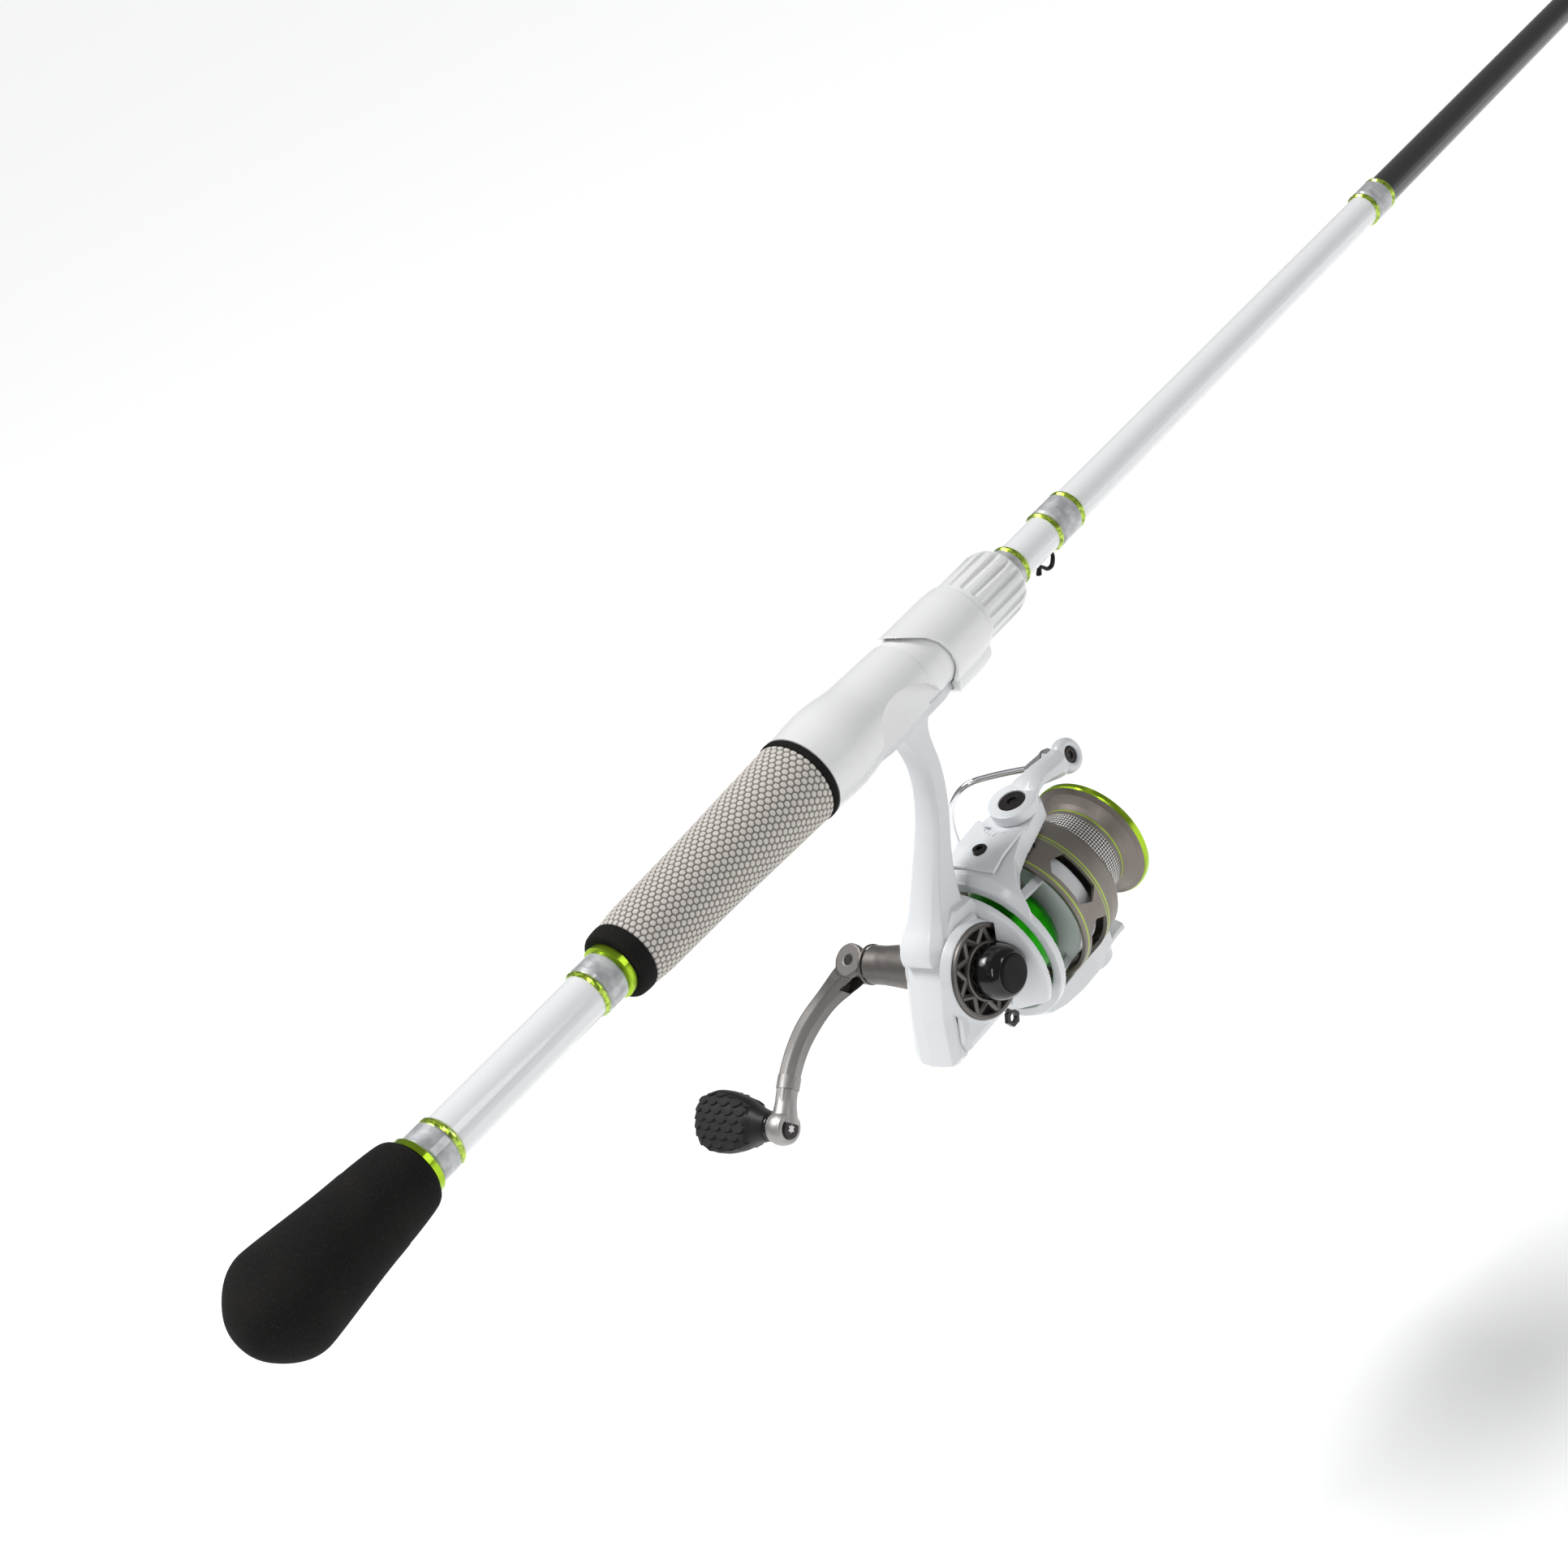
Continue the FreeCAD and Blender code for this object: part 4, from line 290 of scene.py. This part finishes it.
def rubber_look():
    look = Look("knob_rubber", (0.006, 0.006, 0.006), 0.5)
    look.bsdf.inputs["Specular IOR Level"].default_value = 0.3
    raised = look.node("ShaderNodeAttribute", attribute_name="raised").outputs["Fac"]
    look.paint(look.span(raised, 0.2, 0.9), (0.020, 0.0195, 0.019))
    look.shift("Roughness", look.span(raised, 0.2, 0.9), 0.8)
    look.bump(look.noise(2200.0, 4.0), 0.02)
    look.paint(look.span(look.noise(300.0, 4.0), 0.5, 0.8, 0.0, 0.3), (0.035, 0.035, 0.035))
    return look


def arm_look():
    """Gunmetal near the hinge, turning silver along the arm."""
    look = machined("arm_metal", (0.145, 0.135, 0.128), 0.42, 0.8)
    x, y, z = look.axes()
    look.paint(look.span(y, -6.0, -40.0), (0.40, 0.385, 0.375))
    return look


LOOKS = {
    "eva_foam": foam_look(), "hex_grip": hex_look(),
    "lime_metal": turned_metal("lime_metal", (0.36, 0.56, 0.03), 0.16, 0.0),
    "lime_rim": turned_metal("lime_rim", (0.36, 0.56, 0.03), 0.16, SPOOL_Z),
    "pearl_blank": blank_look(), "grey_thread": thread_look(), "lime_trim": trim_look(),
    "seat_white": pearl("seat_pearl", (0.75, 0.755, 0.745), 0.30, 0.5),
    "black_wire": machined("black_wire", (0.015, 0.015, 0.016), 0.25, 0.8),
    "ring_insert": machined("ring_ceramic", (0.05, 0.05, 0.055), 0.12, 0.0),
    "body_white": pearl("body_pearl", (0.67, 0.685, 0.70), 0.34, 0.4),
    "gunmetal": machined("gunmetal", (0.165, 0.152, 0.142), 0.42, 0.8),
    "black_gloss": machined("gloss_black", (0.003, 0.003, 0.003), 0.10, 0.0),
    "black_rubber": rubber_look(),
    "green_drum": turned_metal("green_anodised", (0.012, 0.27, 0.004), 0.30, SPOOL_Z),
    "steel": machined("steel", (0.55, 0.55, 0.56), 0.25),
    "brass_gear": machined("brass", (0.66, 0.50, 0.22), 0.3),
    "zinc_gear": machined("zinc", (0.52, 0.53, 0.54), 0.42),
    "chrome_wire": machined("chrome", (0.80, 0.80, 0.82), 0.06),
    "spool_taupe": anodised_spool(),
    "dark_screw": machined("black_oxide", (0.05, 0.045, 0.045), 0.28, 0.9),
    "felt": foam_look(),
    "arm_silver": arm_look(),
    # The dark pocket look is painted shade: a near-black surface set where a pocket lies in shade.
    "dark_pocket": Look("dark_pocket", (0.01, 0.01, 0.01), 0.7),
}
LOOKS["matte_black"] = machined("matte_black", (0.008, 0.008, 0.008), 0.6, 0.0)
for label in ("matte_black", "dark_pocket"):
    LOOKS[label].bsdf.inputs["Specular IOR Level"].default_value = 0.2
LOOKS["dark_pocket"].bump(LOOKS["dark_pocket"].noise(900.0), 0.02)

SLOT_OF = {item["node"]: item["material_slot"] for item in frame["record"]["subparts"]}
SLOT_OF["lime_rim"] = "lime_rim"
BODY_OF = {node: body for body, nodes in frame["record"]["behaviour"]["bodies"].items()
           for node in nodes}

# ---------------------------------------------------------------- mesh helpers


def shade(obj, look, angle=40.0):
    obj.data.materials.clear()
    obj.data.materials.append(LOOKS[look].material)
    for polygon in obj.data.polygons:
        polygon.use_smooth = True
    if angle < 180:
        obj.data.set_sharp_from_angle(angle=math.radians(angle))


def mesh_object(name, vertices, faces, look, body, replaced=(), angle=40.0):
    """A new piece from millimetre vertices; it rides on body and stands for replaced nodes."""
    mesh = bpy.data.meshes.new(name)
    mesh.from_pydata([tuple(c * MM for c in vertex) for vertex in vertices], [], faces)
    mesh.validate()
    obj = bpy.data.objects.new(name, mesh)
    bpy.context.collection.objects.link(obj)
    shade(obj, look, angle)
    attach(obj, body)
    if replaced:
        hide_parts(*replaced)
    return obj


def smooth_profile(points, rounds=3):
    """Corner cutting on an open (radius, station) line: the ends stay."""
    points = [tuple(map(float, point)) for point in points]
    for _ in range(rounds):
        finer = [points[0]]
        for (a, b), (c, e) in zip(points, points[1:]):
            finer.append((0.75 * a + 0.25 * c, 0.75 * b + 0.25 * e))
            finer.append((0.25 * a + 0.75 * c, 0.25 * b + 0.75 * e))
        finer.append(points[-1])
        points = finer
    return points


def lathe(name, profile, look, body, replaced=(), axis="y", centre=(0.0, 0.0), segments=128,
          angle=35.0, closed=False):
    """A turned piece. profile is (radius, station); closed joins its last point to its first."""
    vertices, faces, rows = [], [], []
    for radius, station in profile:
        row = []
        count = 1 if radius < 1e-6 else segments
        for index in range(count):
            turn = TURN * index / segments
            a, b = radius * math.cos(turn), radius * math.sin(turn)
            if axis == "y":
                vertices.append((centre[0] + a, station, centre[1] + b))
            else:
                vertices.append((station, centre[0] + a, centre[1] + b))
            row.append(len(vertices) - 1)
        rows.append(row)
    pairs = list(zip(rows, rows[1:]))
    if closed:
        pairs.append((rows[-1], rows[0]))
    for first, second in pairs:
        for index in range(segments):
            after = (index + 1) % segments
            quad = [first[index % len(first)], first[after % len(first)],
                    second[after % len(second)], second[index % len(second)]]
            unique = list(dict.fromkeys(quad))
            if len(unique) > 2:
                faces.append(unique if axis == "x" else unique[::-1])
    obj = mesh_object(name, vertices, faces, look, body, replaced, angle)
    fix_normals(obj)
    return obj


def fix_normals(obj):
    work = bmesh.new()
    work.from_mesh(obj.data)
    bmesh.ops.recalc_face_normals(work, faces=work.faces)
    work.to_mesh(obj.data)
    work.free()


def spline(points, count):
    """Points along a smooth curve through the given points (Catmull-Rom)."""
    points = [np.array(point, float) for point in points]
    ends = [2 * points[0] - points[1]] + points + [2 * points[-1] - points[-2]]
    steps = len(points) - 1
    result = []
    for index in range(count + 1):
        along = index / count * steps
        part = min(int(along), steps - 1)
        t = along - part
        a, b, c, e = ends[part:part + 4]
        result.append(0.5 * (2 * b + (c - a) * t + (2 * a - 5 * b + 4 * c - e) * t ** 2
                             + (3 * b - a - 3 * c + e) * t ** 3))
    return result


def bar(name, points, radii, look, body, replaced=(), count=48):
    """A round bar along a smooth curve. radii is one size or one for each point."""
    sides = 24
    radii = [radii] * len(points) if isinstance(radii, (int, float)) else radii
    path = spline([(*point, radius) for point, radius in zip(points, radii)], count)
    vertices, faces = [], []
    normal = None
    for index, spot in enumerate(path):
        ahead = path[min(index + 1, count)][:3] - path[max(index - 1, 0)][:3]
        ahead = Vector(ahead).normalized()
        if normal is None:
            normal = Vector((0, 0, 1)) if abs(ahead.z) < 0.9 else Vector((1, 0, 0))
        normal = (normal - ahead * normal.dot(ahead)).normalized()
        side = ahead.cross(normal)
        for step in range(sides):
            turn = TURN * step / sides
            offset = (normal * math.cos(turn) + side * math.sin(turn)) * float(spot[3])
            vertices.append(tuple(Vector(spot[:3]) + offset))
    for index in range(count):
        for step in range(sides):
            a, b = index * sides + step, index * sides + (step + 1) % sides
            faces.append((a, b, b + sides, a + sides))
    faces.append(tuple(range(sides))[::-1])
    faces.append(tuple(range(count * sides, (count + 1) * sides)))
    obj = mesh_object(name, vertices, faces, look, body, replaced, 50.0)
    fix_normals(obj)
    return obj


def soften(node, look, voxel=0.35, rounds=8):
    """A cast-looking copy of a CAD node: re-meshed finely, its edges rounded."""
    source = NODES[node]
    mesh = source.data.copy()
    obj = bpy.data.objects.new(f"{node}_skin", mesh)
    bpy.context.collection.objects.link(obj)
    grid = obj.modifiers.new("grid", "REMESH")
    grid.mode = "VOXEL"
    grid.voxel_size = voxel * MM
    grid.use_smooth_shade = True
    relax = obj.modifiers.new("relax", "SMOOTH")
    relax.factor = 0.5
    relax.iterations = rounds
    bpy.context.view_layer.update()
    graph = bpy.context.evaluated_depsgraph_get()
    shaped = bpy.data.meshes.new_from_object(obj.evaluated_get(graph))
    obj.modifiers.clear()
    obj.data = shaped
    shade(obj, look, 180.0)
    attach(obj, BODY_OF[node])
    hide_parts(node)
    return obj


# ---------------------------------------------------------------- the CAD nodes

for label, item in NODES.items():
    shade(item, SLOT_OF[label], 32.0)

# Cast and moulded pieces: the voxel size and the rounds of smoothing
SOFT = {"reel_body": (0.3, 3), "side_cover": (0.25, 3), "rotor": (0.3, 6), "arm_cover": (0.22, 4),
        "handle_arm": (0.25, 14), "bail_arm": (0.2, 10), "bail_lever": (0.22, 8),
        "seat_hood": (0.3, 6), "seat_nut": (0.25, 3), "handle_shank": (0.3, 5)}
for label, (voxel, rounds) in SOFT.items():
    soften(label, SLOT_OF[label], voxel, rounds)

# ---------------------------------------------------------------- grips


def hex_height(around, along, pitch):
    """0 on the face of a hexagon, 1 in the groove between two."""
    best = np.full(np.broadcast(around, along).shape, 1e9)
    second = best.copy()
    row_step = pitch * math.sqrt(3) / 2
    row = np.round(along / row_step)
    for shift in (-1, 0, 1):
        line = row + shift
        offset = (line % 2) * 0.5 * pitch
        column = np.round((around - offset) / pitch)
        for step in (-1, 0, 1):
            cx = (column + step) * pitch + offset
            cy = line * row_step
            away = np.hypot(around - cx, along - cy)
            second = np.minimum(second, np.maximum(away, best))
            best = np.minimum(best, away)
    edge = (second - best) / 2
    return np.clip(1.0 - edge / (0.17 * pitch), 0.0, 1.0)


def hex_grip():
    """The rear grip, with hexagons pressed into its skin."""
    line = [(11.4, -104.8), (12.1, -97.4), (12.35, -80.1), (12.75, -63.6), (13.3, -47.1),
            (13.85, -30.6), (14.1, -22.4)]
    stations, around_count = ((520, 560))
    y = np.linspace(line[0][1], line[-1][1], stations)
    radius = np.interp(y, [p[1] for p in line], [p[0] for p in line])
    for _ in range(30):
        radius[1:-1] = (radius[:-2] + radius[2:]) / 2
    turn = np.arange(around_count) / around_count * 2 * math.pi
    columns = 36
    middle_radius = 12.75
    pitch = 2 * math.pi * middle_radius / columns
    groove = hex_height(turn[None, :] * middle_radius, y[:, None], pitch)
    ends = np.clip(np.minimum(y - y[0], y[-1] - y) / 0.8, 0, 1)[:, None]
    depth = radius[:, None] - 0.32 * groove ** 0.8 - 0.5 * (1 - ends) ** 2
    vertices = np.stack([depth * np.cos(turn)[None, :], np.broadcast_to(y[:, None], depth.shape),
                         depth * np.sin(turn)[None, :]], axis=-1).reshape(-1, 3)
    faces = []
    for index in range(stations - 1):
        base = index * around_count
        for step in range(around_count):
            after = (step + 1) % around_count
            faces.append((base + step, base + around_count + step, base + around_count + after,
                          base + after))
    obj = mesh_object("rear_grip_skin", vertices.tolist(), faces, "hex_grip", "rod_and_reel",
                      ["rear_grip"], 180.0)
    # The groove layer is also the mask for the painted shade in the grooves.
    layer = obj.data.attributes.new("groove", "FLOAT", "POINT")
    layer.data.foreach_set("value", np.clip(groove * 1.3, 0, 1).ravel())
    fix_normals(obj)
    return obj


hex_grip()

butt_line = [(0.0, -266.0), (3.7, -265.7), (8.1, -264.0), (12.6, -259.7), (15.5, -255.4),
             (16.8, -251.1), (16.5, -246.4), (15.5, -237.6), (13.9, -224.0), (13.2, -214.6),
             (13.1, -214.3), (13.0, -214.1), (13.0, -213.8), (12.7, -209.8), (11.8, -201.7),
             (11.0, -199.3), (9.6, -198.3), (7.6, -198.3)]
lathe("butt_grip_skin", smooth_profile(butt_line, 2), "eva_foam", "rod_and_reel", ["butt_grip"],
      segments=160)
front_ring = [(8.0, -22.4), (13.6, -22.4), (14.35, -22.0), (14.5, -21.0), (14.35, -20.1),
              (13.8, -19.7), (8.0, -19.7)]
rear_ring = [(7.6, -110.4), (10.3, -110.4), (11.0, -110.0), (11.3, -109.0), (11.5, -106.4),
             (11.4, -105.2), (10.8, -104.8), (7.6, -104.8)]
lathe("foam_ring_front", smooth_profile(front_ring, 2), "eva_foam", "rod_and_reel", ["foam_rings"])
lathe("foam_ring_rear", smooth_profile(rear_ring, 2), "eva_foam", "rod_and_reel")

# ---------------------------------------------------------------- reel details


def turned_on(name, profile, look, body, origin, direction):
    """A turned piece about any axis: stations run from origin along direction."""
    obj = lathe(name, profile, look, body, segments=96)
    aim = Y_AXIS.rotation_difference(Vector(direction).normalized()).to_matrix().to_4x4()
    obj.data.transform(Matrix.Translation(Vector(origin) * MM) @ aim)
    return obj


def screw(name, origin, outward, radius, body):
    """A dished screw head seen from outside, with a six-pointed socket in it."""
    points = 6
    rings = [(0.0, -0.9), (0.30, -0.9), (0.42, -0.02), (0.62, 0.05), (0.9, 0.0), (1.0, -0.14),
             (1.0, -0.8)]
    outward = Vector(outward).normalized()
    across = outward.orthogonal().normalized()
    other = outward.cross(across)
    count = 72
    vertices, faces = [], []
    for number, (share, height) in enumerate(rings):
        for step in range(count):
            turn = 2 * math.pi * step / count
            lobe = 1.0 + (0.22 * math.cos(points * turn) if number in (1, 2) else 0.0)
            reach = radius * share * lobe
            spot = Vector(origin) + outward * (height * radius * 0.5)
            sideways = across * math.cos(turn) + other * math.sin(turn)
            vertices.append(tuple(spot + sideways * reach))
    for number in range(len(rings) - 1):
        for step in range(count):
            after = (step + 1) % count
            base = number * count
            faces.append((base + step, base + after, base + count + after, base + count + step))
    obj = mesh_object(name, vertices, faces, "dark_screw", body, angle=30.0)
    fix_normals(obj)
    return obj


def knob_skin():
    """The rubber paddle: smooth edges and overlapping scales on both broad faces."""
    shares = [0, 0.08, 0.2, 0.36, 0.55, 0.74, 0.89, 0.97, 1.0]
    broads = [4.7, 5.1, 6.3, 8.7, 10.2, 10.4, 8.8, 6.2, 2.6]
    thins = [4.7, 5.0, 5.2, 5.6, 6.1, 6.1, 5.4, 4.0, 1.6]
    start, length = -64.6, 32.4
    middle = np.array((0.0, *KNOB_AXIS))
    broad, thin = np.array((0, 0.6, 0.8)), np.array((0, -0.8, 0.6))
    rows, count = ((260, 420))
    share = 1 - (1 - np.linspace(0, 1, rows)) ** 1.35
    half_broad = np.interp(share, shares, broads)
    half_thin = np.interp(share, shares, thins)
    for _ in range(rows // 2):
        for half in (half_broad, half_thin):
            half[1:-1] = (half[:-2] + 2 * half[1:-1] + half[2:]) / 4
    turn = np.arange(count) / count * 2 * math.pi
    cos, sin = np.cos(turn)[None, :], np.sin(turn)[None, :]
    a = np.sign(cos) * np.abs(cos) ** 0.8 * half_broad[:, None]
    b = np.sign(sin) * np.abs(sin) ** 0.8 * half_thin[:, None]
    # Rows of scales are stacked across the broad way, and a point belongs to the nearest
    # scale's edge below it
    u = np.broadcast_to(share[:, None] * length, a.shape)
    step_u, step_v, radius = 4.9, 2.7, 2.75
    edge = np.full(a.shape, -99.0)
    for row in range(-8, 9):
        offset = 0.5 * step_u * (row % 2)
        away = np.abs(u - offset - np.round((u - offset) / step_u) * step_u)
        line = row * step_v - np.sqrt(np.maximum(radius ** 2 - away ** 2, 0.0))
        edge = np.where((line < a) & (line > edge), line, edge)
    depth = a - edge
    height = np.clip(depth / 0.35, 0, 1) * np.clip(1.15 - depth / 4.2, 0.25, 1)
    face = np.clip((np.abs(sin) - 0.42) / 0.1, 0, 1) * np.clip((share[:, None] - 0.2) / 0.05, 0, 1)
    face = face * np.clip((0.985 - share[:, None]) / 0.03, 0, 1)
    lift = height * face
    normal_a, normal_b = cos * 0.35, sin
    size = np.hypot(normal_a, normal_b)
    a = a + lift * normal_a / size
    b = b + lift * normal_b / size
    place = middle + a[..., None] * broad + b[..., None] * thin
    place[..., 0] = start - u
    vertices = place.reshape(-1, 3).tolist()
    faces = []
    for index in range(rows - 1):
        base = index * count
        for step in range(count):
            after = (step + 1) % count
            faces.append((base + step, base + after, base + count + after, base + count + step))
    faces.append(tuple(range(count)))
    faces.append(tuple(range((rows - 1) * count, rows * count))[::-1])
    obj = mesh_object("knob_skin", vertices, faces, "black_rubber", "grip_knob", ["knob"], 180.0)
    layer = obj.data.attributes.new("raised", "FLOAT", "POINT")
    layer.data.foreach_set("value", lift.ravel())
    fix_normals(obj)


knob_skin()
neck_line = [(2.2, -64.7), (4.2, -64.7), (4.9, -64.2), (4.9, -63.4), (4.3, -62.9), (2.2, -62.9)]
lathe("knob_neck", smooth_profile(neck_line, 2), "black_gloss", "grip_knob", axis="x",
      centre=KNOB_AXIS)

# The arm's end boss, with the knob's screw in it, and the step where its neck starts
ARM = Vector((0, -0.79005, -0.61304))


def on_arm(x, reach):
    """A point at x, a distance out along the crank's arm."""
    return (x, ARM.y * reach, CRANK_Z + ARM.z * reach)


boss_line = [(0.0, -57.0), (3.0, -57.0), (3.1, -56.3), (4.3, -56.0), (5.1, -56.6), (5.7, -58.4),
             (5.7, -60.6), (5.1, -62.2), (4.0, -62.7), (0.0, -62.7)]
lathe("arm_boss", smooth_profile(boss_line, 2), "arm_silver", "arm", axis="x", centre=KNOB_AXIS)
screw("arm_boss_screw", on_arm(-55.3, 55.0), (1, 0, 0), 3.3, "arm")
bar("arm_collar", [on_arm(-61.25, 38.2), on_arm(-61.2, 40.0), on_arm(-61.0, 42.6)], 3.85,
    "arm_silver", "arm", count=8)
bar("arm_neck", [on_arm(-61.0, 42.4), on_arm(-60.6, 46.5), on_arm(-59.9, 50.5), on_arm(-59.4, 54.0)],
    [3.45, 3.55, 4.1, 4.9], "arm_silver", "arm")

# A collar at the shank's outer end, just before the arm's hinge
collar_line = [(6.1, -35.4), (6.55, -35.4), (6.65, -34.9), (6.55, -34.4), (6.1, -34.4)]
lathe("shank_collar", smooth_profile(collar_line, 2), "gunmetal", "crank", axis="x", centre=CRANK_AXIS)

# The crank's cap, with a matt disc let into its end
cap_line = [(2.8, 15.1), (8.6, 15.1), (8.9, 15.6), (9.0, 17.6), (8.8, 20.4), (8.1, 23.0), (7.0, 24.5),
            (6.2, 25.0), (6.0, 24.9), (5.9, 24.5), (0.0, 24.5)]
disc_line = [(0.0, 25.9), (4.9, 25.9), (5.6, 25.7), (5.9, 25.0), (5.9, 24.2)]
lathe("cap_skin", smooth_profile(cap_line, 2), "black_gloss", "crank", ["handle_cap"], axis="x",
      centre=CRANK_AXIS, angle=60.0)
lathe("cap_disc", smooth_profile(disc_line, 2), "matte_black", "crank", axis="x", centre=CRANK_AXIS)


def star_ring():
    """A zigzag of ridged spokes between a hub and a rim."""
    spokes, inner, outer = 9, 8.9, 13.9
    vertices, faces = [], []

    def strut(first, second, half, low, high):
        first, second = Vector(first), Vector(second)
        side = (second - first).normalized().cross(X_AXIS) * half
        base = len(vertices)
        ridge = ((side, low), (side * 0.8, high - 0.5), (side * 0.0, high),
                 (side * -0.8, high - 0.5), (side * -1.0, low))
        for end in (first, second):
            for offset, x in ridge:
                spot = end + offset
                vertices.append((x, spot.y, spot.z))
        for index in range(5):
            after = (index + 1) % 5
            faces.append((base + index, base + after, base + 5 + after, base + 5 + index))
        faces.append(tuple(range(base, base + 5)))
        faces.append(tuple(range(base + 5, base + 10))[::-1])

    def on_ring(radius, turn):
        return (0.0, radius * math.cos(turn), CRANK_Z + radius * math.sin(turn))

    for index in range(spokes):
        turn = 2 * math.pi * index / spokes
        after = turn + math.pi / spokes
        before = turn - math.pi / spokes
        for other in (after, before):
            strut(on_ring(inner, turn), on_ring(outer, other), 1.1, 11.9, 14.1)
    obj = mesh_object("star_ring_spokes", vertices, faces, "gunmetal", "rod_and_reel",
                      ["side_ring"], 20.0)
    fix_normals(obj)


star_ring()
RING_LINES = {
    "star_ring_rim": ([(13.3, 11.9), (13.3, 13.6), (13.6, 14.1), (14.3, 14.35), (14.9, 14.1),
                       (15.0, 13.6), (15.0, 11.8)], "gunmetal"),
    "star_ring_hub": ([(7.4, 12.0), (9.1, 12.0), (9.5, 13.6), (9.3, 14.5), (8.9, 14.8),
                       (7.4, 14.8)], "gunmetal"),
    # The ring's floor is a near-black sheet under the spokes: painted shade in the pocket.
    "star_ring_floor": ([(7.4, 11.75), (13.9, 11.75), (13.9, 12.05), (7.4, 12.05)], "dark_pocket"),
}
for label, (outline, look) in RING_LINES.items():
    lathe(label, outline, look, "rod_and_reel", axis="x", centre=CRANK_AXIS, closed=True)

# The bail arm's round end
ROLLER_END = Vector((8.6, 76.0, -59.2))
AXLE = Vector((-0.970029, -0.080168, -0.229480))
bail_end_line = [(2.9, -0.1), (3.0, -0.35), (3.6, -0.75), (4.7, -0.6), (5.6, 0.2), (5.95, 1.6),
                 (5.8, 3.1), (5.2, 3.6), (4.6, 3.5), (4.2, 3.4)]
turned_on("bail_end", smooth_profile(bail_end_line, 2), "body_white", "bail", ROLLER_END, AXLE)
screw("bail_end_screw", ROLLER_END + AXLE * 0.1, -AXLE, 2.9, "bail")

# The hook keeper: a small bent wire with a ball on its end
keeper_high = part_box("hook_keeper")[1]
keeper_front, keeper_top = keeper_high[1] / MM, keeper_high[2] / MM
# How far back and down from the keeper's front, and the wire's radius there
KEEPER_BENDS = [(0.0, 0.6, 0.55), (0.7, 2.4, 0.72), (2.6, 4.1, 0.78), (4.9, 3.9, 0.7), (6.6, 2.2, 0.62),
                (7.9, 1.5, 0.7), (9.4, 3.0, 0.95), (9.7, 3.5, 0.6)]
bar("hook_keeper_skin",
    [(0, keeper_front - rearward, keeper_top - down) for rearward, down, _ in KEEPER_BENDS],
    [radius for _, _, radius in KEEPER_BENDS], "black_wire", "rod_and_reel", ["hook_keeper"])

# ---------------------------------------------------------------- stage, light and camera


FLOOR_SIZE = 40.0
FLOOR_Z = -0.30


def floor():
    bpy.ops.mesh.primitive_plane_add(size=FLOOR_SIZE, location=(0, 0, FLOOR_Z))
    plane = bpy.context.object
    plane.name = "floor"
    look = Look("floor_paper", (0.97, 0.97, 0.97), 0.95)
    look.bump(look.noise(40.0), 0.05)
    plane.data.materials.append(look.material)


floor()


REEL_CENTRE = (0.0, 0.02, -0.06)


def area_light(name, position, size, power):
    """A soft box that faces the reel."""
    data = bpy.data.lights.new(name, "AREA")
    data.shape = "RECTANGLE"
    data.size, data.size_y = size
    data.energy = power
    light = bpy.data.objects.new(name, data)
    bpy.context.collection.objects.link(light)
    light.location = position
    aim = Vector(REEL_CENTRE) - Vector(position)
    light.rotation_euler = aim.to_track_quat("-Z", "Y").to_euler()


area_light("key", (-0.9, -0.5, 1.6), (0.8, 0.8), 9)
area_light("side", (1.6, 0.6, 0.7), (0.35, 1.0), 5)
area_light("strip", (0.5, -1.5, 1.0), (0.25, 1.0), 5)


def sun_light(name, toward, power, spread):
    data = bpy.data.lights.new(name, "SUN")
    data.energy = power
    data.angle = math.radians(spread)
    light = bpy.data.objects.new(name, data)
    bpy.context.collection.objects.link(light)
    light.rotation_euler = Vector(toward).to_track_quat("-Z", "Y").to_euler()


sun_light("ceiling", (0.34, 0.16, -0.92), 2.35, 24.0)

world = bpy.data.worlds.new("studio")
world.use_nodes = True
world.node_tree.nodes["Background"].inputs["Color"].default_value = (0.97, 0.985, 1.0, 1)
world.node_tree.nodes["Background"].inputs["Strength"].default_value = 0.27
bpy.context.scene.world = world
bpy.context.scene.view_settings.view_transform = "Standard"

camera_data = bpy.data.cameras.new("camera")
camera_data.sensor_width = 36.0
camera_data.lens = 76.3
camera_data.clip_start, camera_data.clip_end = 0.05, 60.0
camera = bpy.data.objects.new("camera", camera_data)
bpy.context.collection.objects.link(camera)
CAMERA_PLACE = (0.69939, -0.58173, 0.40582)
CAMERA_RIGHT = (0.70037, 0.58035, -0.41554)
CAMERA_UP = (-0.00313, 0.58466, 0.81128)
CAMERA_BACK = (0.71377, -0.56689, 0.41129)
facing = Matrix((CAMERA_RIGHT, CAMERA_UP, CAMERA_BACK)).transposed().to_4x4()
camera.matrix_world = Matrix.Translation(CAMERA_PLACE) @ facing
bpy.context.scene.camera = camera
